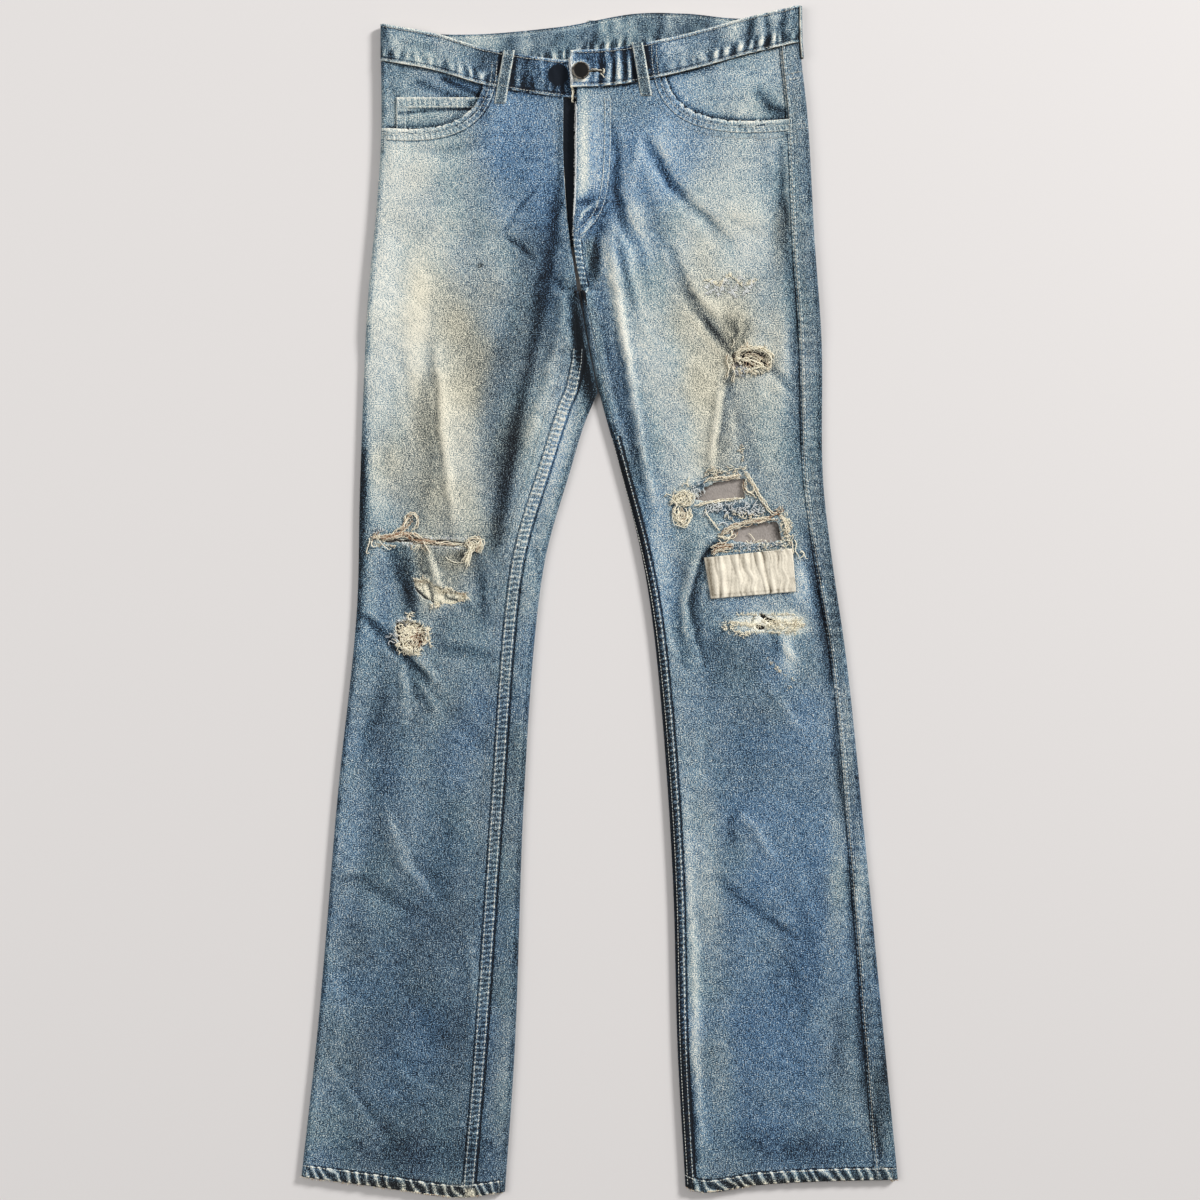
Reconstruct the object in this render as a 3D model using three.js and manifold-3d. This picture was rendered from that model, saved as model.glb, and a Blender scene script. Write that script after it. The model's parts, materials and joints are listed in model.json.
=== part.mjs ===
// Ripped five-pocket jeans, laid flat on their back.
// Millimetres, +Z up. The garment lies on z = 0 with the waist towards +Y and the fly facing up.
// "Right" and "left" are the wearer's, so the right leg is at -X.
// Each leg is a flattened tube: a top layer, a bottom layer, and a round fold at each side.
import * as THREE from "three";
import { mergeVertices } from "three/addons/utils/BufferGeometryUtils.js";
import Module from "manifold-3d";

const wasm = await Module();
wasm.setup();

// Driving dimensions.
const DENIM = 1.4; // one layer of cloth
const BAND = 2.4; // the waistband, two layers and its interlining
const BAND_HEIGHT = 36;
const SEAM_GAP = 0.3; // between two pieces that are sewn edge to edge
const LAY_GAP = 0.3; // between a piece and what it is sewn on
const SLIDE_GAP = 0.5; // between two loose layers
const LEG_FOLD = 6.6; // height of a leg's folded edge
const HIP_FOLD = 7.6; // height of the hip's folded edge
const RESTING_GAP = 0.8; // between the layers in the middle of a leg
const SEAT_LIFT = DENIM + LAY_GAP; // the seat lies on the back pockets and belt loops
const FLY_LIFT = DENIM + 1; // how far the left front's fly edge stands over the right front
const COIN_LIFT = DENIM + SLIDE_GAP; // how far the right front rises over the coin pocket
const OVERLAP_LIFT = BAND + 1; // how far the waistband's outer end rises over its under end
const END_DROP = 0.6; // how far the under end sinks
const BUTTON_SEAT = SEAT_LIFT + LEG_FOLD - END_DROP; // top of the under end, where the button sits
const LOOP_WIDTH = 11;
const LOOP_TAIL = 14; // a front loop's foot below the waist seam
const HEM_HEIGHT = 12;
const HEM_WALL = 2.6; // two layers, pressed
const FORK = 302; // where the front seam meets the inseams
const GAP_TOP = 204; // where the gap between the legs begins
const HIP_TOP = 500; // nominal height of the waist seam
const HEM_LINE = -565; // nominal height of the hems
const SEAT_RAMP = [235, 270]; // the seat rises off the ground between these
const HIP_RAMP = [180, 300]; // the leg's fold grows to the hip's between these
const POCKET_FOOT = [350, 380]; // the top layer rises between these to clear the pockets
const BETWEEN_LAYERS = 1.8; // a height that lies between a leg's two layers
const ABOVE_ALL = 60;

// A smooth curve through points [t, value], listed with t falling or rising.
function through(points) {
  const p = [...points].sort((a, b) => a[0] - b[0]);
  const chord = (i) => (p[i + 1][1] - p[i][1]) / (p[i + 1][0] - p[i][0]);
  const slopes = p.map((_, i) => {
    if (i === 0) return chord(0);
    if (i === p.length - 1) return chord(i - 1);
    return (chord(i - 1) + chord(i)) / 2;
  });
  return (t) => {
    if (t <= p[0][0]) return p[0][1] + slopes[0] * (t - p[0][0]);
    const last = p.length - 1;
    if (t >= p[last][0]) return p[last][1] + slopes[last] * (t - p[last][0]);
    const i = p.findIndex((q) => q[0] > t) - 1;
    const h = p[i + 1][0] - p[i][0];
    const u = (t - p[i][0]) / h;
    const a = (1 + 2 * u) * (1 - u) ** 2;
    const b = u * (1 - u) ** 2;
    const c = u * u * (3 - 2 * u);
    const d = u * u * (u - 1);
    return a * p[i][1] + b * h * slopes[i] + c * p[i + 1][1] + d * h * slopes[i + 1];
  };
}
const seamShare = SEAM_GAP / 2; // each piece's share of the gap at a seam
const lerp = (a, b, t) => a + (b - a) * t;
const ease = (lo, hi, t) => THREE.MathUtils.smoothstep(t, lo, hi);

// Where the legs' inner folds press together, between the fork and the top of the gap.
const valley = through([[FORK, -18.3], [292, -16.7], [250, -9.5], [GAP_TOP, 0]]);
const besideValley = (side, curve) => (y) =>
  (y > GAP_TOP ? valley(y) + side * SLIDE_GAP : curve(y));

// The outline from above: [height up the garment, x].
const legs = {
  right: {
    out: -1,
    outer: through([[561, -212], [458, -211], [390, -215], [293, -224], [109, -232],
      [-8, -235], [-182, -253], [-415, -273], [-560, -289]]),
    inner: besideValley(-1, through([[GAP_TOP, -0.5], [172, -14], [129, -27], [50, -50],
      [-8, -59], [-182, -72], [-437, -81.5], [-575, -91]])),
    // The inseam lies on top, this far in from the inner fold. The side seam is underneath,
    // this far in from the outer fold.
    inseam: through([[FORK, 2], [280, 9], [240, 15], [196, 24], [100, 27], [-182, 27],
      [-437, 35], [-575, 37]]),
    sideSeam: through([[540, 16], [100, 18], [-560, 20]]),
    centreFront: through([[490, -34], [430, -34], [370, -30], [340, -26], [FORK, -20.3]]),
    waistSeam: through([[-212, 525], [-157, 515], [-113, 502], [-38, 490], [-5, 489]]),
    hem: through([[-289, -558], [-213, -568], [-135, -578], [-90, -573]]),
  },
  left: {
    out: 1,
    outer: through([[580, 195], [540, 196], [473, 203], [352, 210], [251, 217], [118, 218.5],
      [50, 226], [-55, 241], [-240, 260], [-437, 279], [-560, 291]]),
    inner: besideValley(1, through([[GAP_TOP, 0.5], [180, 7], [132, 20.5], [50, 41],
      [-8, 51], [-107, 61.5], [-270, 72.3], [-437, 77], [-560, 84]])),
    // On this leg the side seam lies on top.
    inseam: through([[FORK, 2], [280, 6.2], [204, 7], [-560, 6.8]]),
    sideSeam: through([[540, 18], [250, 20], [50, 15.5], [-100, 13], [-300, 16], [-560, 20]]),
    centreFront: through([[498, -21], [427, -22], [354, -24.6], [330, -22], [FORK, -16.3]]),
    waistSeam: through([[-27, 498], [15, 500.5], [60, 509], [101, 519], [144, 531], [196, 543]]),
    hem: through([[84, -568], [97, -573], [156, -566], [220, -562.5], [291, -561]]),
  },
};
const backWaistSeam = through([[-212, 525], [-154, 516], [-38, 523], [37, 536], [84, 536],
  [144, 531.5], [196, 543]]);
const yokeSeam = through([[-212, 497], [-110, 485], [-5, 472], [100, 490], [196, 514]]);
const seatSeam = through([[536, -5], [420, -8], [340, -14], [FORK, -18.3]]);
const centreBack = (y) => (y > FORK ? seatSeam(y) : valley(y));

// The largest folds of the top layer: a ridge or a trough (negative height) along a line.
const folds = [
  { line: [[-44, 375], [-48, 293], [-60, 196], [-80, 99]], height: -2.6, width: 11 },
  { line: [[-26, 330], [-32, 262], [-45, 190], [-68, 120]], height: 4.2, width: 12 },
  { line: [[4, 370], [10, 300], [26, 200], [44, 110]], height: 4.4, width: 12 },
  { line: [[20, 430], [24, 350], [40, 270]], height: -2.4, width: 10 },
  { line: [[58, 396], [90, 340]], height: -2.2, width: 12 },
  { line: [[-150, 330], [-140, 240], [-128, 160]], height: 3.2, width: 16 },
  { line: [[82, 284], [112, 250]], height: -2, width: 12 },
  { line: [[-200, -30], [-150, -95]], height: -2.2, width: 12 },
  { line: [[88, 60], [78, 20], [84, -40]], height: 2.6, width: 12 },
  { line: [[-180, -170], [-130, -260]], height: 2.4, width: 16 },
  { line: [[120, -220], [190, -300]], height: -1.8, width: 16 },
];

function nearLine(line, x, y) {
  let best = Infinity;
  let end = 0;
  for (let i = 0; i + 1 < line.length; i++) {
    const [ax, ay] = line[i];
    const [bx, by] = line[i + 1];
    const long2 = (bx - ax) ** 2 + (by - ay) ** 2;
    const t = THREE.MathUtils.clamp(((x - ax) * (bx - ax) + (y - ay) * (by - ay)) / long2, 0, 1);
    const gap = Math.hypot(x - lerp(ax, bx, t), y - lerp(ay, by, t));
    if (gap < best) {
      best = gap;
      end = (i + t) / (line.length - 1);
    }
  }
  return [best, end];
}

const seatLift = (y) => SEAT_LIFT * ease(...SEAT_RAMP, y);
const foldHeight = (y) => lerp(LEG_FOLD, HIP_FOLD, ease(...HIP_RAMP, y));
const foldRadius = (y) => foldHeight(y) / 2;

// How far the top layer stands above (or sags below) the height of its folded edges.
function relief(leg, x, y) {
  const fromOuter = Math.abs(x - leg.outer(y));
  const fromEdge = y > FORK ? fromOuter : Math.min(fromOuter, Math.abs(x - leg.inner(y)));
  const deepest = foldHeight(y) - 2 * DENIM - RESTING_GAP;
  const clearOfPocket = 1 - ease(...POCKET_FOOT, y);
  const clearOfFly = Math.max(1 - ease(FORK - 20, FORK + 30, y), ease(34, 66, Math.abs(x + 20)));
  const clearOfHem = ease(HEM_LINE + 20, HEM_LINE + 75, y);
  const slack = foldHeight(y) - LEG_FOLD;
  const sag = lerp(slack, deepest, clearOfPocket * clearOfFly * clearOfHem);
  let rise = -sag * ease(4, 30, fromEdge);
  for (const fold of folds) {
    const [gap, along] = nearLine(fold.line, x, y);
    const taper = Math.sin(Math.PI * lerp(0.12, 0.88, along));
    rise += fold.height * taper * Math.exp(-((gap / fold.width) ** 2)) * ease(3, 16, fromEdge);
  }
  return Math.max(rise, -deepest);
}

// The top layer's height at a depth inside its outer face.
const topHeight = (leg, x, y, depth) =>
  seatLift(y) + foldHeight(y) + relief(leg, x, y) - depth;

// A column of a panel: its leg, whether it is in the top layer, and its [x, z] at a height up the
// garment and a depth inside the outer face.
const topColumns = (leg, from, to, n) => Array.from({ length: n + 1 }, (_, i) => ({
  leg,
  top: true,
  at: (y, depth) => {
    const x = lerp(from(y), to(y), i / n);
    return [x, topHeight(leg, x, y, depth)];
  },
}));
const belowColumns = (leg, from, to, n) => Array.from({ length: n + 1 }, (_, i) => ({
  leg,
  top: false,
  at: (y, depth) => [lerp(from(y), to(y), i / n), seatLift(y) + depth],
}));
const foldColumns = (leg, side, degrees) => degrees.map((angle) => ({
  leg,
  top: false,
  at: (y, depth) => {
    const r = foldRadius(y);
    const outwards = side === "outer" ? leg.out : -leg.out;
    const turn = THREE.MathUtils.degToRad(angle);
    return [
      leg[side](y) - outwards * r + outwards * (r - depth) * Math.cos(turn),
      seatLift(y) + r + (r - depth) * Math.sin(turn),
    ];
  },
}));
const FOLD_ANGLES = [-90, -45, 0, 45, 90];

// A closed wall between an outer and an inner grid of points [row][column].
function wall(outer, inner) {
  const rows = outer.length;
  const columns = outer[0].length;
  const points = [...outer.flat(), ...inner.flat()];
  const at = (side, r, c) => side * rows * columns + r * columns + c;
  const faces = [];
  const quad = (a, b, c, d) => faces.push(a, b, c, a, c, d);
  for (let r = 0; r + 1 < rows; r++) {
    for (let c = 0; c + 1 < columns; c++) {
      quad(at(0, r, c), at(0, r, c + 1), at(0, r + 1, c + 1), at(0, r + 1, c));
      quad(at(1, r, c), at(1, r + 1, c), at(1, r + 1, c + 1), at(1, r, c + 1));
    }
    quad(at(0, r, 0), at(0, r + 1, 0), at(1, r + 1, 0), at(1, r, 0));
    const e = columns - 1;
    quad(at(0, r, e), at(1, r, e), at(1, r + 1, e), at(0, r + 1, e));
  }
  for (let c = 0; c + 1 < columns; c++) {
    const e = rows - 1;
    quad(at(0, 0, c), at(1, 0, c), at(1, 0, c + 1), at(0, 0, c + 1));
    quad(at(0, e, c), at(0, e, c + 1), at(1, e, c + 1), at(1, e, c));
  }
  const geometry = new THREE.BufferGeometry();
  geometry.setAttribute("position", new THREE.Float32BufferAttribute(points.flat(), 3));
  geometry.setIndex(faces);
  return facingOut(geometry);
}

// Turns a closed geometry's faces round if they point inwards.
function facingOut(geometry) {
  const p = geometry.attributes.position;
  const index = geometry.index.array;
  const [a, b, c] = [new THREE.Vector3(), new THREE.Vector3(), new THREE.Vector3()];
  let volume = 0;
  for (let i = 0; i < index.length; i += 3) {
    a.fromBufferAttribute(p, index[i]);
    b.fromBufferAttribute(p, index[i + 1]);
    c.fromBufferAttribute(p, index[i + 2]);
    volume += a.dot(b.cross(c));
  }
  if (volume < 0) {
    for (let i = 0; i < index.length; i += 3) {
      [index[i + 1], index[i + 2]] = [index[i + 2], index[i + 1]];
    }
  }
  return geometry;
}

function toSolid(geometry) {
  const bare = geometry.clone();
  bare.deleteAttribute("normal");
  bare.deleteAttribute("uv");
  const merged = mergeVertices(bare, 1e-4);
  return new wasm.Manifold(new wasm.Mesh({
    numProp: 3,
    vertProperties: new Float32Array(merged.attributes.position.array),
    triVerts: new Uint32Array(merged.index.array),
  }));
}

function toGeometry(solid) {
  const mesh = solid.getMesh();
  const geometry = new THREE.BufferGeometry();
  geometry.setAttribute("position", new THREE.BufferAttribute(mesh.vertProperties, 3));
  geometry.setIndex(new THREE.BufferAttribute(mesh.triVerts, 1));
  return geometry;
}

// An upright prism over an outline of [x, y] points.
function prism(outline, bottom, top) {
  const shape = new THREE.Shape(outline.map(([x, y]) => new THREE.Vector2(x, y)));
  const geometry = new THREE.ExtrudeGeometry(shape, { depth: top - bottom, bevelEnabled: false });
  return geometry.translate(0, 0, bottom);
}

function cut(geometry, outlines, bottom) {
  let solid = toSolid(geometry);
  for (const outline of outlines) {
    solid = solid.subtract(toSolid(prism(outline, bottom, ABOVE_ALL)));
  }
  return toGeometry(solid);
}

// A panel of cloth. Its rows run from the hem up, and near the waist and the hem they follow the
// real edges.
function panel({ leg, columns, rows, topEdge, lift = () => 0 }) {
  const place = (column, nominal, side) => {
    const thickness = nominal <= HEM_LINE + HEM_HEIGHT ? HEM_WALL : DENIM;
    const towardsTop = ease(HIP_TOP - 130, HIP_TOP, nominal);
    const towardsHem = 1 - ease(HEM_LINE, HEM_LINE + 120, nominal);
    let y = nominal;
    for (let pass = 0; pass < 3; pass++) {
      const [x] = column.at(y, 0);
      y = nominal + (topEdge(x) - seamShare - HIP_TOP) * towardsTop
        + (leg.hem(x) - HEM_LINE) * towardsHem;
    }
    const [x, z] = column.at(y, side * thickness);
    return [x, y, z + (column.top ? lift(x, y) : 0)];
  };
  const grid = (side) => rows.map((y) => columns.map((column) => place(column, y, side)));
  return wall(grid(0), grid(1));
}

const legRows = [HEM_LINE, HEM_LINE + HEM_HEIGHT, HEM_LINE + HEM_HEIGHT + 2];
for (let y = HEM_LINE + 53; y < GAP_TOP - 30; y += 44) legRows.push(y);
const hipRows = [GAP_TOP, 222, 240, 260, 280, FORK];
const waistRows = [328, 356, 384, 412, 440, 470, HIP_TOP];

const { right, left } = legs;

// Where the seams lie, as x at a height.
const inseamX = (leg) => (y) => leg.inner(y) + leg.out * leg.inseam(y);
const sideSeamX = (leg) => (y) => leg.outer(y) - leg.out * leg.sideSeam(y);
const outerTangent = (leg) => (y) => leg.outer(y) - leg.out * foldRadius(y);
const innerTangent = (leg) => (y) => leg.inner(y) + leg.out * foldRadius(y);
const frontEnd = (leg) => (y) =>
  (y > FORK ? leg.centreFront(y) : inseamX(leg)(y)) + leg.out * seamShare;
const frontRows = [...legRows, ...hipRows, ...waistRows];

// The fly edge of the left front lies over the right front and stands a little proud.
const flyLift = (x, y) => FLY_LIFT * (1 - ease(-16, 26, x)) * ease(FORK + 2, FORK + 50, y);
// The right front is lifted where the coin pocket lies under the edge of its pocket opening.
const coinLift = (x, y) => COIN_LIFT * ease(-210, -198, x) * (1 - ease(-104, -80, x))
  * ease(398, 428, y);

// The opening of a front pocket, from the waist down round the scoop to the side.
function scoop(points, top) {
  const curve = new THREE.CubicBezierCurve(...points.map(([x, y]) => new THREE.Vector2(x, y)));
  const edge = curve.getPoints(10).map((p) => [p.x, p.y]);
  return [...edge, [points[3][0], top], [points[0][0], top]];
}
const rightScoop = scoop([[-109, 525], [-109, 462], [-150, 451], [-232, 462]], 560);
const leftScoop = scoop([[62, 540], [62, 474], [92, 456], [216, 472]], 580);

// Rips, as outlines on the fronts.
const rips = {
  right: [
    [[-219, 59], [-190, 58], [-160, 52.5], [-118, 51], [-119, 47], [-160, 47], [-192, 52], [-218, 55]],
    [[-184, 19], [-166, 12], [-148, 14], [-132, 9], [-150, -2], [-168, -5], [-178, 6]],
    [[-196, -18], [-182, -15], [-168, -24], [-170, -38], [-184, -46], [-197, -34]],
  ],
  left: [
    [[127, 249], [150, 247], [166, 243], [165, 230], [140, 228], [129, 234]],
    [[91, 95], [98, 107], [114, 115], [149, 118], [150, 96], [122, 90], [98, 89]],
    [[131, 64], [138, 72], [175, 77], [179, 63], [168, 57], [149, 55], [134, 57]],
  ],
};

// The right front runs round the outer fold to a side seam underneath, and its pocket opening is
// cut through the fold. A rip goes through the top layer only.
const frontRight = cut(cut(panel({
  leg: right,
  columns: [
    ...belowColumns(right, sideSeamX(right), outerTangent(right), 1).slice(0, 1),
    ...foldColumns(right, "outer", FOLD_ANGLES),
    ...topColumns(right, outerTangent(right), frontEnd(right), 13).slice(1),
  ],
  rows: frontRows,
  topEdge: right.waistSeam,
  lift: coinLift,
}), rips.right, BETWEEN_LAYERS), [rightScoop], -1);

const frontLeft = cut(panel({
  leg: left,
  columns: topColumns(left, frontEnd(left), (y) => sideSeamX(left)(y) - seamShare, 14),
  rows: frontRows,
  topEdge: left.waistSeam,
  lift: flyLift,
}), [leftScoop, ...rips.left], BETWEEN_LAYERS);

// The under side of a back piece, from an inner line to the side seam. The right side seam lies
// underneath; the left one lies on top, so there the cloth comes round the outer fold.
const underColumns = (leg, from, n) => (leg === right
  ? belowColumns(leg, from, (y) => sideSeamX(leg)(y) + SEAM_GAP, n)
  : [
    ...belowColumns(leg, from, outerTangent(leg), n).slice(0, -1),
    ...foldColumns(leg, "outer", FOLD_ANGLES),
    ...topColumns(leg, outerTangent(leg), (y) => sideSeamX(leg)(y) + seamShare, 1).slice(1),
  ]);
const seatColumns = (leg) => underColumns(leg, (y) => centreBack(y) + leg.out * seamShare, 7);

// Back panels: the leg as a tube's under side with its folds, and the seat above the fork.
function backPanel(leg) {
  const seat = panel({
    leg,
    columns: seatColumns(leg),
    rows: [FORK - 32, FORK, ...waistRows],
    topEdge: yokeSeam,
  });
  const start = topColumns(leg, (y) => inseamX(leg)(y) - leg.out * seamShare, innerTangent(leg), 2);
  const under = underColumns(leg, innerTangent(leg), 3).slice(1);
  const tube = panel({
    leg,
    columns: [...start.slice(0, -1), ...foldColumns(leg, "inner", [...FOLD_ANGLES].reverse()),
      ...under],
    rows: [...legRows, ...hipRows.slice(0, -1)],
    topEdge: yokeSeam,
  });
  return toGeometry(toSolid(tube).add(toSolid(seat)));
}

function yoke(leg) {
  const columns = seatColumns(leg);
  const edge = (x, t) => lerp(yokeSeam(x) + SEAM_GAP, backWaistSeam(x) - 2 * SEAM_GAP, t);
  const place = (column, t, depth) => {
    let y = HIP_TOP;
    for (let pass = 0; pass < 3; pass++) y = edge(column.at(y, 0)[0], t);
    const [x, z] = column.at(y, depth);
    return [x, y, z];
  };
  const grid = (depth) => [0, 0.5, 1].map((t) => columns.map((c) => place(c, t, depth)));
  return wall(grid(0), grid(DENIM));
}

// A front pocket's facing: it fills the scoop, runs on under the front panel to an inner edge,
// and ends at the side seam.
function facing(leg, innerEdge, foot) {
  const depth = DENIM + SLIDE_GAP;
  const columns = leg === right
    ? [
      ...belowColumns(leg, sideSeamX(leg), outerTangent(leg), 1).slice(0, 1),
      ...foldColumns(leg, "outer", FOLD_ANGLES),
      ...topColumns(leg, outerTangent(leg), () => innerEdge, 10).slice(1),
    ]
    : topColumns(leg, () => innerEdge, (y) => sideSeamX(leg)(y) - seamShare, 10);
  const rows = [foot, foot + 20, foot + 45, HIP_TOP - 20, HIP_TOP];
  const grid = (d) => rows.map((y) => columns.map((column) => {
    const [x, z] = column.at(y, d);
    return [x, y + (leg.waistSeam(x) - seamShare - HIP_TOP) * ease(430, HIP_TOP, y), z];
  }));
  return wall(grid(depth), grid(depth + DENIM));
}

// A sheet between four corners that follows a leg's top layer at a depth (negative is above it).
function onLayer({ leg, corners, columns, rows, depth }) {
  const [[ax, ay], [bx, by], [cx, cy], [dx, dy]] = corners;
  const grid = (d) => Array.from({ length: rows + 1 }, (_, r) =>
    Array.from({ length: columns + 1 }, (_, c) => {
      const [u, v] = [c / columns, r / rows];
      const x = lerp(lerp(ax, bx, u), lerp(dx, cx, u), v);
      const y = lerp(lerp(ay, by, u), lerp(dy, cy, u), v);
      return [x, y, topHeight(leg, x, y, d)];
    }));
  return wall(grid(depth), grid(depth + DENIM));
}
const coinPocket = onLayer({
  leg: right, corners: [[-196, 489], [-110, 489], [-110, 432], [-196, 432]], columns: 6, rows: 4,
  depth: SLIDE_GAP - LAY_GAP,
});
const kneePatch = onLayer({
  leg: left, corners: [[102.5, 43], [188.5, 52], [192, 10], [109, 3]], columns: 6, rows: 3,
  depth: -LAY_GAP - DENIM,
});
// The fly's shield narrows to its foot, under the gap between the two fronts.
const flyShield = onLayer({
  leg: right, corners: [[-46, 486], [4, 486], [-12, 345], [-34, 345]], columns: 3, rows: 5,
  depth: DENIM + SLIDE_GAP,
});

// The waistband: one strip from its under end, round the back, to its buttonhole end. It is taken
// from the section of the hip at one height.
const bandSection = 542;
const bandEnds = { under: -6, over: -27 };
const buttonhole = [[-22, 511], [4, 511], [4, 516.5], [-22, 516.5]];
const overlapLift = (x) => OVERLAP_LIFT * (1 - ease(0, 70, x));
const endDrop = (x) => END_DROP * ease(-70, -30, x);
function waistband() {
  const frontRightPart = topColumns(right, outerTangent(right), () => bandEnds.under, 10).reverse();
  const frontLeftPart = topColumns(left, outerTangent(left), () => bandEnds.over, 10);
  const columns = [
    ...frontRightPart,
    ...foldColumns(right, "outer", [45, 0, -45]),
    ...belowColumns(right, outerTangent(right), outerTangent(left), 16),
    ...foldColumns(left, "outer", [-45, 0, 45]),
    ...frontLeftPart,
  ];
  const lift = (column, x) => {
    if (!column.top) return 0;
    return column.leg === left ? overlapLift(x) : -endDrop(x);
  };
  const grid = (depth) => [0, 0.5, 1].map((t) => columns.map((column) => {
    const [x, z] = column.at(bandSection, depth);
    const seam = column.top ? column.leg.waistSeam(x) : backWaistSeam(x);
    return [x, seam + seamShare + BAND_HEIGHT * t, z + lift(column, x)];
  }));
  return cut(wall(grid(0), grid(BAND)), [buttonhole], BUTTON_SEAT + LAY_GAP);
}

// A belt loop on the front: a leaning strip over the band, from below the waist seam to the top.
function frontLoop(leg, x, lean) {
  const bottom = leg.waistSeam(x) - LOOP_TAIL;
  const long = BAND_HEIGHT + LOOP_TAIL + 1;
  const rows = 4;
  const grid = (d) => Array.from({ length: rows + 1 }, (_, r) => [-0.5, 0.5].map((side) => {
    const y = bottom + long * r / rows;
    const px = x + lean * (r / rows - 0.5) + LOOP_WIDTH * side;
    const isLeft = leg === left;
    const band = topHeight(leg, px, bandSection, 0) + (isLeft ? overlapLift(px) : 0);
    const front = topHeight(leg, px, Math.min(y, leg.waistSeam(px)), 0)
      + (isLeft ? flyLift(px, y) : coinLift(px, y));
    return [px, y, Math.max(band, front) + d];
  }));
  return wall(grid(DENIM + LAY_GAP), grid(LAY_GAP));
}

// A belt loop on the left hip's outer fold, seen edge on from above.
function sideLoop() {
  const columns = foldColumns(left, "outer", [-50, -10, 30]);
  const grid = (d) => [528, 553, 578].map((y) => columns.map((column) => {
    const [x, z] = column.at(HIP_TOP, -d);
    return [x, y, z];
  }));
  return wall(grid(LAY_GAP + DENIM), grid(LAY_GAP));
}

// A belt loop under the back of the band, given its top's centre.
const backLoop = (x, y) => {
  const [w, h] = [LOOP_WIDTH / 2, BAND_HEIGHT + 16];
  return prism([[x - w, y - h], [x + w, y - h], [x + w, y], [x - w, y]], 0, DENIM);
};

// A back pocket, a five-sided patch under the seat.
const backPocket = (x, top, lean) => prism([
  [x - 74, top - lean], [x + 74, top + lean], [x + 66, top - 140 + lean],
  [x, top - 166], [x - 66, top - 140 - lean],
], 0, DENIM);

// The shank button: a domed head on a stem that passes through the buttonhole.
function button() {
  const profile = [[0, 0], [2, 0], [2, 5.6], [7.2, 5.6], [8.4, 6.4], [8.4, 7.4], [7, 8.3],
    [3.5, 8.8], [0, 8.9]].map(([r, z]) => new THREE.Vector2(r, z));
  const geometry = new THREE.LatheGeometry(profile, 24);
  geometry.deleteAttribute("uv");
  geometry.deleteAttribute("normal");
  return facingOut(mergeVertices(geometry, 1e-4).rotateX(Math.PI / 2));
}

const finish = (color, roughness, metalness) =>
  new THREE.MeshStandardMaterial({ color, roughness, metalness });
const indigo = finish(0x5d7f9d, 0.9, 0);
const facingIndigo = finish(0x56768f, 0.9, 0);
const patchCloth = finish(0xc9bfa6, 0.92, 0);
const blackMetal = finish(0x23231f, 0.45, 0.8);

const jeans = new THREE.Group();
function add(name, geometry, material, [x, y, z] = [0, 0, 0]) {
  const mesh = new THREE.Mesh(geometry, material);
  mesh.name = name;
  mesh.position.set(x, y, z);
  jeans.add(mesh);
}

add("front_right", frontRight, indigo);
add("front_left", frontLeft, indigo);
add("back_right", backPanel(right), indigo);
add("back_left", backPanel(left), indigo);
add("yoke_right", yoke(right), indigo);
add("yoke_left", yoke(left), indigo);
add("waistband", waistband(), indigo);
add("pocket_facing_right", facing(right, -92, 425), facingIndigo);
add("pocket_facing_left", facing(left, 48, 430), facingIndigo);
add("coin_pocket", coinPocket, facingIndigo);
add("fly_shield", flyShield, indigo);
add("back_pocket_right", backPocket(-100, 452, -4), indigo);
add("back_pocket_left", backPocket(96, 462, 4), indigo);
add("belt_loop_front_right", frontLoop(right, -91, 9), indigo);
add("belt_loop_front_left", frontLoop(left, 42, -9), indigo);
add("belt_loop_side_left", sideLoop(), indigo);
add("belt_loop_back_centre", backLoop(-5, 566), indigo);
add("belt_loop_back_right", backLoop(-160, 558), indigo);
add("button", button(), blackMetal, [-17, 514, BUTTON_SEAT + LAY_GAP]);
add("knee_patch", kneePatch, patchCloth);

export default jeans;
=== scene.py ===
import json
import math

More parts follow.
